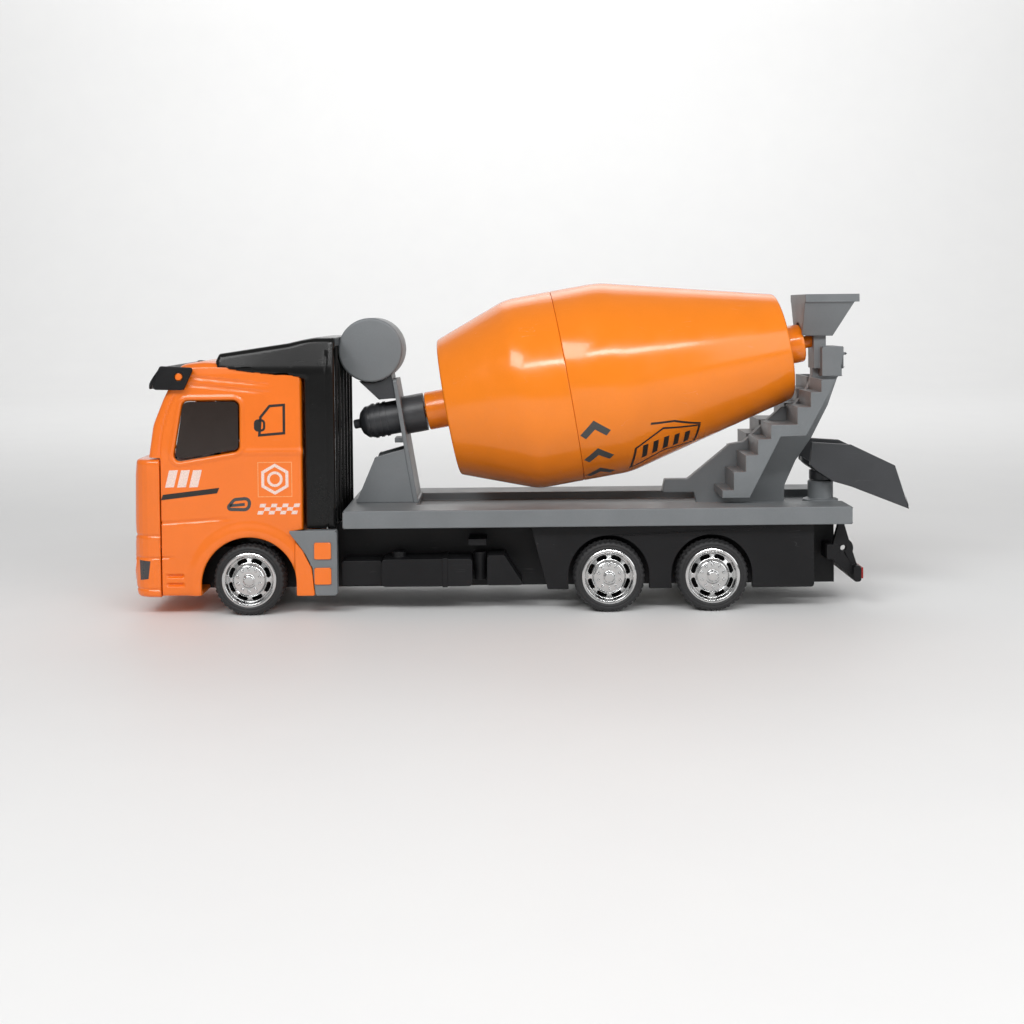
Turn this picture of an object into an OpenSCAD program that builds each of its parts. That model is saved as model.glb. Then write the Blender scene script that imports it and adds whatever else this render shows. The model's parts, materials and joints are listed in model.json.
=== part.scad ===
// Toy cement mixer truck, 1:48, with a pull-back drive, a turning drum and a swinging chute.
// The cab faces -X, +Z is up, and the origin is on the ground under the middle of the truck.

/* [Cab] */
// Length of the cab from the bumper to its back wall
cab_l = 54.6; // [53:0.2:56]
// Width over the cab's side walls
cab_w = 53; // [52:0.5:54]
// Height of the roof above the ground
cab_top = 79; // [78:0.5:80]
// Thickness of the die-cast cab wall
cab_wall = 1.6; // [1.2:0.1:2]
// Length of the black fairing behind the cab
fairing_l = 9.6; // [9:0.2:11]

/* [Deck] */
// Length of the load deck
deck_l = 157; // [155:0.5:160]
// Width of the load deck
deck_w = 56; // [55:0.5:58]
// Height of the deck's upper face above the ground
deck_top = 32.5; // [32:0.1:33]
// Thickness of the deck's edge
deck_t = 5.5; // [5:0.1:6]
// Distance that the chute reaches past the deck
chute_overhang = 22.5; // [21:0.5:24]

/* [Drum] */
// Largest radius of the drum
drum_r = 31.3; // [30:0.1:31.5]
// Radius of the drum's front face
drum_front_r = 22.3; // [21:0.1:23]
// Radius of the drum's rear face
drum_rear_r = 17.6; // [16:0.1:17.8]
// Upward tilt of the drum's axis towards the rear, in degrees
drum_tilt = 9.8; // [9.4:0.1:10]
// Thickness of the drum's moulded wall
drum_wall = 1.4; // [1:0.1:2]

/* [Wheels] */
// Outside diameter of a tyre
tyre_d = 22.2; // [21.8:0.1:22.6]
// Width of a tyre
tyre_w = 7.8; // [7:0.1:8]
// Radius of the chromed rim
rim_r = 8.4; // [8:0.1:8.6]
// Distance from the front axle to the middle axle
wheelbase = 111.4; // [110:0.2:112]
// Distance from the middle axle to the rear axle
tandem = 32; // [31.5:0.5:33]
// Radial running clearance of every shaft
running = 0.08; // [0.02:0.01:0.1]

/* [Chute] */
// Inside width of the chute trough
chute_w = 16; // [14:0.5:17]
// Thickness of the trough's walls
chute_wall = 1.5; // [1.2:0.1:2]

/* [Hidden] */
$fn = 64;

// Colours
orange = "darkorange";
grey = "slategray";
dark_grey = "dimgray";
black = "#1c1c1e";
chrome = "silver";

// Stations along the truck
deck_gap = 2.3;
overall_l = cab_l + fairing_l + deck_gap + deck_l + chute_overhang;
front_x = -overall_l / 2;
cab_back = front_x + cab_l;
fairing_back = cab_back + fairing_l;
deck_front = fairing_back + deck_gap;
deck_back = deck_front + deck_l;
front_axle_x = front_x + 37.2;
middle_axle_x = front_axle_x + wheelbase;
rear_axle_x = middle_axle_x + tandem;
axle_z = tyre_d / 2;
axle_r = 1;
wheel_face = 25.8;
deck_bottom = deck_top - deck_t;

// Stations along the drum, measured from the front hub
hub_x = deck_front + 27.4;
hub_z = 61.6;
drum_face = 4.6;
drum_shoulder = 29;
drum_seam = 43.6;
drum_belly_end = 59;
drum_end = 115;
neck_r = 6.2;
neck_front = -2.6;
neck_end = 121.6;
trunnion_r = 2;
eps = 0.01;

// ---------------------------------------------------------------- helpers

function unit(v) = v / norm(v);

// The points of one rounded corner at p, between its neighbours, with radius r in n steps
function corner(before, p, after, r, n) =
    let (
        a = unit(before - p),
        b = unit(after - p),
        half = acos(a * b) / 2,
        start = p + a * r / tan(half),
        end = p + b * r / tan(half),
        centre = p + unit(a + b) * r / sin(half),
        from = atan2(start.y - centre.y, start.x - centre.x),
        turn = atan2(end.y - centre.y, end.x - centre.x) - from,
        sweep = turn > 180 ? turn - 360 : turn < -180 ? turn + 360 : turn
    )
    [for (i = [0:n]) centre + r * [cos(from + sweep * i / n), sin(from + sweep * i / n)]];

// An outline whose points are [x, y, corner radius]
function rounded(points, n = 4) =
    let (count = len(points))
    [for (i = [0:count - 1])
        let (
            p = points[i],
            before = points[(i + count - 1) % count],
            after = points[(i + 1) % count]
        )
        each (p[2] > 0
            ? corner([before.x, before.y], [p.x, p.y], [after.x, after.y], p[2], n)
            : [[p.x, p.y]])];

function box_outline(x0, x1, y0, y1, r) = [[x0, y0, r], [x1, y0, r], [x1, y1, r], [x0, y1, r]];

// Extrudes a side view, drawn as [x, z], between y0 and y1
module side_view(y0, y1) {
    translate([0, y1, 0])
        rotate([90, 0, 0])
            linear_extrude(y1 - y0) children();
}

// Extrudes a front view, drawn as [y, z], between x0 and x1
module front_view(x0, x1) {
    translate([x0, 0, 0])
        rotate([90, 0, 90])
            linear_extrude(x1 - x0) children();
}

module block(x0, x1, y0, y1, z0, z1) {
    translate([x0, y0, z0])
        cube([x1 - x0, y1 - y0, z1 - z0]);
}

// A shaft or bore along Y, centred on the truck
module cross_rod(x, z, r, half_l) {
    translate([x, 0, z])
        rotate([90, 0, 0])
            cylinder(h = 2 * half_l, r = r, center = true);
}

module both_sides() {
    children();
    mirror([0, 1, 0]) children();
}

// Puts children on the drum's axis, with local +Z towards the rear
module on_drum_axis(s = 0) {
    translate([hub_x, 0, hub_z])
        rotate([0, 90 - drum_tilt, 0])
            translate([0, 0, s]) children();
}

// ---------------------------------------------------------------- cab

pillar_x = front_x + 6.4;
fascia_back = front_x + 10.1;
fascia_top = 50;
cab_bottom = 6;
arch_r = 14.7;
arch_z = 9.6;
flare_back = cab_back + 3.1;
// Rear edge of the flare, from its top to the ground end, as [x, z]
flare_edge = [[cab_back - 4.9, 25.5], [cab_back - 0.5, 20.1], [cab_back + 2.2, 14.8], [flare_back, cab_bottom]];
flare_out = 0.7;

// Side view of the cab, drawn inset by a wall thickness
function cab_side(inset) = [
    [fascia_back, cab_bottom - (inset > 0 ? 1 : 0), 0],
    [fascia_back, fascia_top + 0.1, 0],
    [pillar_x + inset, fascia_top + 0.1, 0],
    [pillar_x + 1.6 + inset, 59.5, 12],
    [pillar_x + 4.8 + inset, 67.5, 8],
    [pillar_x + 11 + inset, cab_top - 1.2 - inset, 3],
    [pillar_x + 19 + inset, cab_top - inset, 10],
    [cab_back - 8 - inset, cab_top - 1 - inset, 10],
    [cab_back - inset, cab_top - 4 - inset, 2],
    [cab_back - inset, cab_bottom - (inset > 0 ? 1 : 0), 0]
];

// Plan view of the cab, with a crowned front
function cab_plan(inset) = [
    [front_x + inset, -9, 20],
    [front_x + 1.4 + inset, -cab_w / 2 + inset, 7],
    [cab_back - inset, -cab_w / 2 + inset, 1.5],
    [cab_back - inset, cab_w / 2 - inset, 1.5],
    [front_x + 1.4 + inset, cab_w / 2 - inset, 7],
    [front_x + inset, 9, 20]
];

// Front view of the cab, with the roof's rounded shoulders
function cab_front(inset) = [
    [-cab_w / 2 + inset, cab_bottom - 2, 0],
    [-cab_w / 2 + inset, 52, 20],
    [-cab_w / 2 + 1.6 + inset, cab_top + 0.5 - inset, 4.5],
    [cab_w / 2 - 1.6 - inset, cab_top + 0.5 - inset, 4.5],
    [cab_w / 2 - inset, 52, 20],
    [cab_w / 2 - inset, cab_bottom - 2, 0]
];

module cab_body(inset) {
    intersection() {
        side_view(-cab_w, cab_w) polygon(rounded(cab_side(inset)));
        linear_extrude(2 * cab_top) polygon(rounded(cab_plan(inset), 5));
        front_view(front_x - 5, cab_back + 5) polygon(rounded(cab_front(inset)));
    }
}

function side_window_outline(grow) =
    rounded([
        [front_x + 14.7 - grow, 48.6 - grow, 1.6],
        [front_x + 34.6 + grow, 51.6 - grow, 1.6],
        [front_x + 34.6 + grow, 66.6 + grow, 1.6],
        [front_x + 17.6 - grow, 66.6 + grow, 1.6]
    ]);

function windscreen_outline(grow) =
    rounded(box_outline(-cab_w / 2 + 4.2 - grow, cab_w / 2 - 4.2 + grow, 50.4 - grow, 67.2 + grow, 2));

// The raised flare round each front wheel
module wheel_flare() {
    side_view(-cab_w / 2 - flare_out, -cab_w / 2 + cab_wall)
        difference() {
            polygon(rounded([
                [front_axle_x + 14, cab_bottom, 0],
                for (i = [3:-1:1]) [flare_edge[i].x, flare_edge[i].y, i == 3 ? 0.8 : 3],
                [flare_edge[0].x, flare_edge[0].y, 3],
                [front_axle_x + 6, 27.6, 5],
                [front_axle_x - 8, 25.6, 5],
                [front_axle_x - 14.9, 20, 4],
                [front_axle_x - 16.6, cab_bottom, 0]
            ]));
            translate([front_axle_x, arch_z]) circle(r = arch_r);
            translate([front_axle_x - arch_r, 0]) square([2 * arch_r, arch_z]);
        }
}

module cab_shell() {
    color(orange) {
        difference() {
            cab_body(0);
            cab_body(cab_wall);
            side_view(-cab_w, cab_w) polygon(side_window_outline(0));
            front_view(front_x - 5, pillar_x + 9) polygon(windscreen_outline(0));
            cross_rod(front_axle_x, arch_z, arch_r, cab_w);
            block(front_axle_x - arch_r, front_axle_x + arch_r, -cab_w, cab_w, 0, arch_z);
            // Gap in the back wall for the chassis
            block(cab_back - 3, cab_back + 1, -rail_w / 2 - 0.2, rail_w / 2 + 0.2, 0, 24);
            // Two vents low in front of each wheel arch
            for (z = [9.6, 12.2])
                block(fascia_back + 2.2, fascia_back + 7, -cab_w, cab_w, z, z + 1);
        }
        both_sides() wheel_flare();
        // Pegs that the sun visor clips on
        both_sides()
            cross_peg(visor_peg_x, visor_peg_z, 1.3, cab_w / 2 - 2.6, cab_w / 2 + 0.6);
    }
}

// A peg along -Y from y0 to y1, on the left side
module cross_peg(x, z, r, y0, y1) {
    translate([x, -y0, z])
        rotate([90, 0, 0])
            cylinder(h = y1 - y0, r = r);
}

module fascia_body(inset) {
    intersection() {
        side_view(-cab_w, cab_w)
            polygon(rounded([
                [fascia_back, cab_bottom - (inset > 0 ? 1 : 0), 0],
                [front_x + 1.6 + inset, cab_bottom - (inset > 0 ? 1 : 0), 2],
                [front_x + 0.2 + inset, 11, 6],
                [front_x + inset, 22.5, 3],
                [front_x + 1 + inset, 25.5, 0.8],
                [front_x + 0.5 + inset, 29, 3],
                [front_x + 1.1 + inset, 44, 8],
                [front_x + 2 + inset, fascia_top - inset, 1.2],
                [fascia_back, fascia_top - inset, 0]
            ]));
        linear_extrude(2 * cab_top) polygon(rounded(cab_plan(inset), 5));
    }
}

module headlight_outline() {
    polygon(rounded([
        [-23.4, 17.6, 0.8],
        [-19.4, 11, 0.8],
        [-14.6, 12.4, 0.8],
        [-15, 17.6, 0.8]
    ]));
}

module grille_outline(grow) {
    polygon(rounded(box_outline(-14.5 - grow, 14.5 + grow, 28.5 - grow, 46.5 + grow, 1.5)));
}

module front_fascia() {
    color(orange)
        difference() {
            fascia_body(0);
            fascia_body(cab_wall);
            front_view(front_x - 5, fascia_back - 1) grille_outline(0);
            both_sides() front_view(front_x - 5, fascia_back - 1) headlight_outline();
            // Lower air intake
            front_view(front_x - 5, fascia_back - 1)
                polygon(rounded(box_outline(-11, 11, 11.5, 16.5, 1.2)));
        }
}

module grille() {
    bar_pitch = 3.6;
    color(black) {
        difference() {
            front_view(front_x + 2.4, front_x + 6.2) grille_outline(-0.1);
            for (i = [0:4])
                block(front_x, front_x + 4.6, -13.4, 13.4, 29.3 + bar_pitch * i, 31.3 + bar_pitch * i);
        }
        front_view(front_x + 2.6, front_x + 6.2)
            polygon(rounded(box_outline(-10.9, 10.9, 11.6, 16.4, 1)));
    }
}

module headlights() {
    color("dimgray")
        both_sides()
            intersection() {
                front_view(front_x - 1, front_x + 7) headlight_outline_inset();
                fascia_body(0.5);
            }
}

module headlight_outline_inset() {
    polygon(rounded([
        [-23.2, 17.5, 0.7],
        [-19.35, 11.15, 0.7],
        [-14.75, 12.5, 0.7],
        [-15.1, 17.5, 0.7]
    ]));
}

// The clear screen stands just proud of the pillars
module windscreen() {
    color("lightcyan")
        intersection() {
            front_view(front_x, pillar_x + 8) polygon(windscreen_outline(-0.1));
            difference() {
                windscreen_bow(0);
                windscreen_bow(1.2);
            }
        }
}

module windscreen_bow(inset) {
    side_view(-cab_w / 2, cab_w / 2)
        polygon(rounded([
            [pillar_x + 20, 48, 0],
            [front_x + 4.4 + inset, 48, 0],
            [front_x + 5.4 + inset, 58, 14],
            [front_x + 9.6 + inset, 69, 0],
            [pillar_x + 20, 69, 0]
        ]));
}

module side_windows() {
    color("darkslategray")
        both_sides()
            side_view(-cab_w / 2 + 0.5, -cab_w / 2 + 2)
                polygon(side_window_outline(-0.1));
}

seat_z = 34;

module seat(y) {
    translate([front_x + 30, y - 8, 0]) {
        side_view(0, 16)
            polygon(rounded([
                [0, seat_z - 7.5, 0],
                [15.2, seat_z - 7.5, 0],
                [17.5, seat_z + 20, 1.4],
                [14, seat_z + 20, 1.4],
                [12.4, seat_z, 1.5],
                [0, seat_z, 1.5]
            ]));
    }
}

module cab_interior() {
    color(dark_grey) {
        block(fascia_back + 1, cab_back - 2, -23, 23, 24.9, 27);
        seat(-8.8);
        seat(8.8);
        // Dashboard
        side_view(-22, 22)
            polygon(rounded([
                [fascia_back + 1, 26, 0],
                [fascia_back + 8, 26, 0],
                [fascia_back + 7, 46, 2],
                [fascia_back + 1, 48, 1]
            ]));
    }
}

wheel_hub_x = fascia_back + 12;

module steering_wheel() {
    color(black)
        translate([wheel_hub_x, -8.8, 45])
            rotate([0, -58, 0]) {
                rotate_extrude() translate([4.6, 0]) circle(r = 0.7, $fn = 16);
                cylinder(h = 1, r = 1.4, center = true);
                for (a = [0, 120, 240])
                    rotate([0, 0, a])
                        translate([0.8, -0.5, -0.35]) cube([3.9, 1, 0.7]);
            }
}

visor_peg_x = front_x + 15.1;
visor_peg_z = 73.8;

function visor_outline() =
    rounded([
        [front_x + 9.2, 77, 0.8],
        [front_x + 19.6, 76.4, 0.8],
        [front_x + 16.2, 70.2, 1],
        [front_x + 6.6, 70.4, 1]
    ]);

module sun_visor() {
    plate_y = cab_w / 2 - 0.4;
    color(black) {
        both_sides()
            difference() {
                side_view(-plate_y - 1.2, -plate_y) polygon(visor_outline());
                cross_peg(visor_peg_x, visor_peg_z, 1.35, plate_y - 1, plate_y + 3);
            }
        // The peak that joins the two side plates above the screen
        intersection() {
            side_view(-plate_y - 0.1, plate_y + 0.1)
                polygon(rounded([
                    [front_x + 9.6, 77.2, 0.5],
                    [front_x + 10.4, 76, 0.3],
                    [front_x + 5.6, 70.4, 0.3],
                    [front_x + 4.2, 70.8, 0.5]
                ]));
            linear_extrude(2 * cab_top) polygon(rounded(visor_plan(), 5));
        }
    }
}

function visor_plan() = [
    [front_x + 3.6, -10, 14],
    [front_x + 5.4, -cab_w / 2, 3],
    [cab_back, -cab_w / 2, 1],
    [cab_back, cab_w / 2, 1],
    [front_x + 5.4, cab_w / 2, 3],
    [front_x + 3.6, 10, 14]
];

module rear_fairing() {
    half_w = cab_w / 2 - 1;
    panel_x = cab_back + 0.1;
    color(black)
        difference() {
            intersection() {
                union() {
                    // Panel behind the cab
                    block(panel_x, fairing_back, -half_w, half_w, 26.8, 86.4);
                    // Wind deflector over the roof
                    side_view(-half_w, half_w)
                        polygon(rounded([
                            [front_x + 27.4, cab_top + 0.1, 0],
                            [front_x + 28.4, 81.2, 0.8],
                            [front_x + 49.9, 84.3, 10],
                            [front_x + 58.1, 86.4, 2],
                            [fairing_back, 86.4, 0.5],
                            [fairing_back, 70, 0],
                            [panel_x, 70, 0],
                            [panel_x, cab_top + 0.1, 0]
                        ]));
                }
                front_view(front_x, fairing_back + 5)
                    polygon(rounded([
                        [-half_w, 20, 0],
                        [-half_w, 76, 10],
                        [-half_w + 3, 86.4, 3],
                        [half_w - 3, 86.4, 3],
                        [half_w, 76, 10],
                        [half_w, 20, 0]
                    ]));
            }
            // Shallow recess that leaves a flange round the back
            front_view(fairing_back - 2.4, fairing_back + 1)
                polygon(rounded(box_outline(-half_w + 2.4, half_w - 2.4, 26, 83, 2)));
            // Relief for the water tank in that flange
            cross_rod(tank_x, tank_z, tank_r + 0.4, tank_half_l + 0.5);
        }
}

step_top = 26.5;
step_back = fairing_back + 0.4;
pad_x = step_back - 7;
pad_w = 5.2;
pad_z = [9.8, 17.6];

panel_face = cab_w / 2 + 0.45;

module step_panel() {
    color(grey) {
        side_view(-panel_face, -cab_w / 2 + 3)
            polygon(rounded([
                [flare_back + 0.15, cab_bottom + 0.3, 0.5],
                [step_back, cab_bottom + 0.3, 0.8],
                [step_back, step_top, 0.8],
                [cab_back + 0.3, step_top, 0.3],
                [cab_back + 0.3, flare_edge[1].y, 0],
                [flare_edge[2].x + 0.2, flare_edge[2].y, 0.2]
            ]));
        // Thin lap over the cab's rear corner, up to the flare
        side_view(-panel_face, -cab_w / 2 - 0.05)
            polygon([
                [flare_edge[0].x + 0.3, step_top],
                [flare_edge[0].x + 0.3, flare_edge[0].y + 0.2],
                [flare_edge[1].x + 0.2, flare_edge[1].y],
                [cab_back + 2, flare_edge[2].y + 0.6],
                [cab_back + 2, step_top]
            ]);
    }
}

module step_panel_left() { step_panel(); }

module step_panel_right() { mirror([0, 1, 0]) step_panel(); }

module step_pads() {
    color(orange)
        both_sides()
            for (z = pad_z)
                side_view(-panel_face - 0.45, -panel_face)
                    polygon(rounded(box_outline(pad_x, pad_x + pad_w, z, z + pad_w, 0.5)));
}

// ---------------------------------------------------------------- chassis

rail_w = 26;
rail_wall = 2;
rail_bottom = 8;
cab_rail_top = 19.5;
chassis_front = fascia_back + 0.4;
chassis_back = deck_back - 2.5;
screw_x = [chassis_front + 8, -34, 10, chassis_back - 6];
motor_x0 = middle_axle_x + 5;
motor_x1 = rear_axle_x + 5.2;

module chassis_frame() {
    color(black)
        difference() {
            union() {
                block(fairing_back - 1, chassis_back, -rail_w / 2, rail_w / 2, rail_bottom, deck_bottom);
                block(chassis_front, fairing_back, -rail_w / 2, rail_w / 2, rail_bottom, cab_rail_top);
            }
            difference() {
                union() {
                    block(fairing_back + 1, chassis_back - 2, -11, 11, 0, deck_bottom - 2);
                    block(chassis_front + 2, fairing_back + 2, -11, 11, 0, cab_rail_top - 2);
                }
                for (x = screw_x)
                    translate([x, 0, 0]) cylinder(h = deck_bottom, r = 2.6);
                // Cross walls
                for (x = [fairing_back + 14, -10])
                    block(x, x + 1.6, -12, 12, rail_bottom, deck_bottom);
            }
            for (x = [front_axle_x, middle_axle_x, rear_axle_x])
                cross_rod(x, axle_z, axle_r + running, rail_w);
            for (x = screw_x)
                translate([x, 0, rail_bottom - 1]) cylinder(h = 7, r = 0.8);
        }
}

module base_plate() {
    color(black)
        difference() {
            block(chassis_front, chassis_back, -rail_w / 2, rail_w / 2, rail_bottom - 1.6, rail_bottom);
            // Window for the pull-back motor, whose case is flush with the plate
            block(motor_x0 - 0.2, motor_x1 + 0.2, case_y0 - 1.2, case_y1 + 0.2, 0, rail_bottom + 1);
            for (x = screw_x) {
                translate([x, 0, 0]) cylinder(h = rail_bottom + 1, r = 1.1);
                translate([x, 0, rail_bottom - 2]) cylinder(h = 1.3, r = 2.1);
            }
        }
}

module base_screws() {
    color(chrome)
        for (x = screw_x)
            translate([x, 0, rail_bottom - 1.5])
                difference() {
                    union() {
                        cylinder(h = 0.8, r = 2);
                        cylinder(h = 6.5, r = 0.8);
                    }
                    for (a = [0, 90])
                        rotate([0, 0, a])
                            translate([-1.3, -0.25, -0.1]) cube([2.6, 0.5, 0.5]);
                }
}

side_y = 24;
inner_y = rail_w / 2;

// Fuel tank with a lower step towards the cab
module fuel_tank() {
    color(black) {
        side_view(-side_y, -inner_y)
            polygon(rounded([
                [-45, 8.2, 1.2],
                [-16.8, 8.2, 1.2],
                [-16.8, 16.8, 1.2],
                [-45, 16.8, 1.2]
            ]));
        side_view(-side_y + 1.5, -inner_y)
            polygon(rounded(box_outline(fairing_back + 1.2, -45 + eps, 8.6, 16.2, 1)));
        // Filler cap and holding strap
        translate([-40, -18, 16.8 - eps]) cylinder(h = 1.6, r = 2.2);
        block(-26, -24.5, -side_y - 0.35, -inner_y, 8, 17.1);
    }
}

module air_tank() {
    color(black)
        both_sides() {
            translate([-14.4, -18, 9.4])
                cylinder(h = 8.6, r = 1.9);
            block(-18, -12.4, -22, -inner_y, 20.6, 22.6);
        }
}

// Wedge-ended box ahead of the middle wheel on the left, and a long battery box on the right
module battery_box() {
    color(black) {
        both_sides()
            side_view(-side_y, -inner_y)
                polygon(rounded([
                    [-12.2, 8.4, 0.6],
                    [-0.8, 8.4, 0.6],
                    [-6.8, 17.8, 0.8],
                    [-12.2, 17.8, 0.6]
                ]));
        side_view(inner_y, side_y)
            polygon(rounded(box_outline(fairing_back + 2, -17, 8.2, 19, 1)));
        for (x = [-50, -40, -30])
            block(x, x + 1.2, side_y - 1, side_y + 0.4, 9.4, 17.8);
    }
}

// Side panel with an arch over each rear wheel and a guard that roofs the wheels
module mudguard() {
    guard_r = tyre_d / 2 + 1.4;
    color(black)
        difference() {
            union() {
                side_view(-side_y, -side_y + 1.6)
                    polygon(rounded([
                        [6.6, 7, 0],
                        [middle_axle_x - guard_r + 1, 7, 0],
                        [rear_axle_x + guard_r, 7, 0],
                        [chassis_back - 8.6, 7, 1],
                        [chassis_back - 8.6, deck_bottom - 0.3, 0],
                        [1.6, deck_bottom - 0.3, 0],
                        [3.2, 20, 2]
                    ]));
                block(2.2, chassis_back - 9, -side_y + 0.5, -inner_y, deck_bottom - 1.8, deck_bottom - 0.3);
                block(rear_axle_x + guard_r + 2, rear_axle_x + guard_r + 3.6, -side_y + 0.5, -inner_y, 9, 26);
            }
            for (x = [middle_axle_x, rear_axle_x]) {
                cross_rod(x, axle_z, guard_r, 40);
                block(x - guard_r, x + guard_r, -40, 40, 0, axle_z);
            }
        }
}

module mudguard_left() { mudguard(); }

module mudguard_right() { mirror([0, 1, 0]) mudguard(); }

lamp_x = deck_back + 3.6;

module rear_bumper() {
    color(black) {
        // Under-run bar
        side_view(-24, 24)
            polygon(rounded(box_outline(lamp_x - 2.4, lamp_x, 8.4, 13.4, 0.8)));
        both_sides() {
            // Bracket with its round lug
            side_view(-21, -18.8)
                difference() {
                    union() {
                        polygon(rounded([
                            [chassis_back - 2, 14.6, 0],
                            [lamp_x - 1.2, 8.8, 0.5],
                            [lamp_x - 0.4, 12.4, 0.5],
                            [deck_back + 0.8, 20, 1],
                            [deck_back - 1, 26.2, 0.4],
                            [deck_back - 2.8, 26.2, 0.4],
                            [chassis_back - 2, 20, 0]
                        ]));
                        translate([deck_back - 1.3, 18.5]) circle(r = 3.1);
                    }
                    translate([deck_back - 1.3, 18.5]) circle(r = 0.9);
                }
            block(chassis_back - 4, chassis_back - 0.6, -21, -inner_y, 15, 19.6);
        }
    }
}

module tail_lamps() {
    color("firebrick")
        both_sides()
            for (y = [-22.5, -18.3])
                block(lamp_x, lamp_x + 0.9, y, y + 3.8, 9.2, 12.6);
}

// ---------------------------------------------------------------- pull-back motor

gear_module = 0.5;
gear_y = 5;
gear_t = 2;
drive_teeth = 12;
idler_teeth = 20;
barrel_teeth = 24;
idler_rise = 2.4;
barrel_rise = 1.6;
drive_gap = gear_module * (drive_teeth + idler_teeth) / 2;
barrel_gap = gear_module * (idler_teeth + barrel_teeth) / 2;
idler_x = rear_axle_x - sqrt(drive_gap * drive_gap - idler_rise * idler_rise);
idler_z = axle_z + idler_rise;
barrel_x = idler_x - sqrt(barrel_gap * barrel_gap - barrel_rise * barrel_rise);
barrel_z = idler_z + barrel_rise;
case_y0 = -7;
case_y1 = 8;
case_z0 = rail_bottom - 1.6;
case_z1 = deck_bottom - 2.2;

// An involute tooth flank: the angle from the tooth's middle at radius r
function flank(r, pitch_r, base_r, half_tooth) =
    let (
        at_pitch = acos(base_r / pitch_r),
        at_r = r > base_r ? acos(base_r / r) : 0
    )
    half_tooth + (tan(at_pitch) * 180 / PI - at_pitch) - (tan(at_r) * 180 / PI - at_r);

// Outline of a spur gear with a little backlash, and with a tooth centred on angle 0
function gear_outline(teeth) =
    let (
        pitch_r = gear_module * teeth / 2,
        base_r = pitch_r * cos(22.5),
        tip_r = pitch_r + 0.8 * gear_module,
        root_r = pitch_r - 1.15 * gear_module,
        half_tooth = 90 / teeth - 0.06 / pitch_r * 180 / PI,
        radii = [root_r, max(base_r, root_r + 0.05), pitch_r, tip_r]
    )
    [for (k = [0:teeth - 1])
        let (middle = k * 360 / teeth)
        each [
            for (r = radii)
                let (a = middle - flank(r, pitch_r, base_r, half_tooth))
                r * [cos(a), sin(a)],
            for (i = [len(radii) - 1:-1:0])
                let (r = radii[i], a = middle + flank(r, pitch_r, base_r, half_tooth))
                r * [cos(a), sin(a)]
        ]];

// A gear in the motor's gear plane, turned so that a tooth or gap faces the given direction
module motor_gear(x, z, teeth, turn, t = gear_t) {
    translate([x, gear_y + t / 2, z])
        rotate([90, 0, 0])
            linear_extrude(t)
                rotate(turn) polygon(gear_outline(teeth));
}

to_idler = atan2(idler_z - axle_z, idler_x - rear_axle_x);
to_barrel = atan2(barrel_z - idler_z, barrel_x - idler_x);
idler_turn = to_idler + 180 - 180 / idler_teeth;
// The idler's tooth nearest the barrel fixes the barrel's gap
idler_phase = (to_barrel - idler_turn) * idler_teeth / 360;
barrel_turn = to_barrel + 180 + (idler_phase - floor(idler_phase)) * 360 / barrel_teeth
    - 180 / barrel_teeth;

module drive_gear() {
    color("white")
        difference() {
            union() {
                motor_gear(rear_axle_x, axle_z, drive_teeth, to_idler);
                translate([rear_axle_x, gear_y - gear_t / 2, axle_z])
                    rotate([90, 0, 0])
                        cylinder(h = 3, r = 2);
            }
            cross_rod(rear_axle_x, axle_z, axle_r, 20);
        }
}

module idler_gear() {
    color("white") {
        motor_gear(idler_x, idler_z, idler_teeth, idler_turn);
        translate([idler_x, case_y1 - 0.2, idler_z])
            rotate([90, 0, 0])
                cylinder(h = case_y1 - case_y0 - 0.4, r = 1);
    }
}

barrel_r = 5.4;

module spring_barrel() {
    color("gold")
        difference() {
            union() {
                motor_gear(barrel_x, barrel_z, barrel_teeth, barrel_turn);
                translate([barrel_x, gear_y, barrel_z])
                    rotate([90, 0, 0])
                        cylinder(h = 10, r = barrel_r);
                translate([barrel_x, case_y1 - 0.2, barrel_z])
                    rotate([90, 0, 0])
                        cylinder(h = case_y1 - case_y0 - 0.4, r = 1.2);
            }
            // Ring-shaped room for the spring
            translate([barrel_x, gear_y - 1.2, barrel_z])
                rotate([90, 0, 0])
                    difference() {
                        cylinder(h = 9.5, r = barrel_r - 0.7);
                        translate([0, 0, -1]) cylinder(h = 12, r = 1.2);
                    }
        }
}

// A flat steel strip wound in a spiral
module mainspring() {
    turns = 5;
    steps = 20;
    strip_t = 0.3;
    inner_r = 1.4;
    outer_r = barrel_r - 1.2;
    function strip_point(i, out) =
        let (
            a = 360 * i / steps,
            r = inner_r + (outer_r - inner_r) * i / (turns * steps) + out
        )
        r * [cos(a), sin(a)];
    color("steelblue")
        translate([barrel_x, gear_y - 1.6, barrel_z])
            rotate([90, 0, 0])
                linear_extrude(7.6)
                    polygon(concat(
                        [for (i = [0:turns * steps]) strip_point(i, 0)],
                        [for (i = [turns * steps:-1:0]) strip_point(i, strip_t)]
                    ));
}

module motor_bores(y0, y1) {
    side_view(y0, y1) {
        translate([rear_axle_x, axle_z]) circle(r = axle_r + running);
        translate([idler_x, idler_z]) circle(r = 1 + running);
        translate([barrel_x, barrel_z]) circle(r = 1.2 + running);
    }
}

module motor_case() {
    color("ivory")
        difference() {
            block(motor_x0, motor_x1, case_y0 - 1, case_y1 - 1, case_z0, case_z1);
            block(motor_x0 + 1, motor_x1 - 1, case_y0, case_y1, case_z0 + 0.8, case_z1 - 0.8);
            motor_bores(case_y0 - 2, case_y0 + 1);
        }
}

module motor_cover() {
    color("ivory")
        difference() {
            block(motor_x0, motor_x1, case_y1 - 1, case_y1, case_z0, case_z1);
            motor_bores(case_y1 - 2, case_y1 + 1);
        }
}

// ---------------------------------------------------------------- wheels

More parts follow.
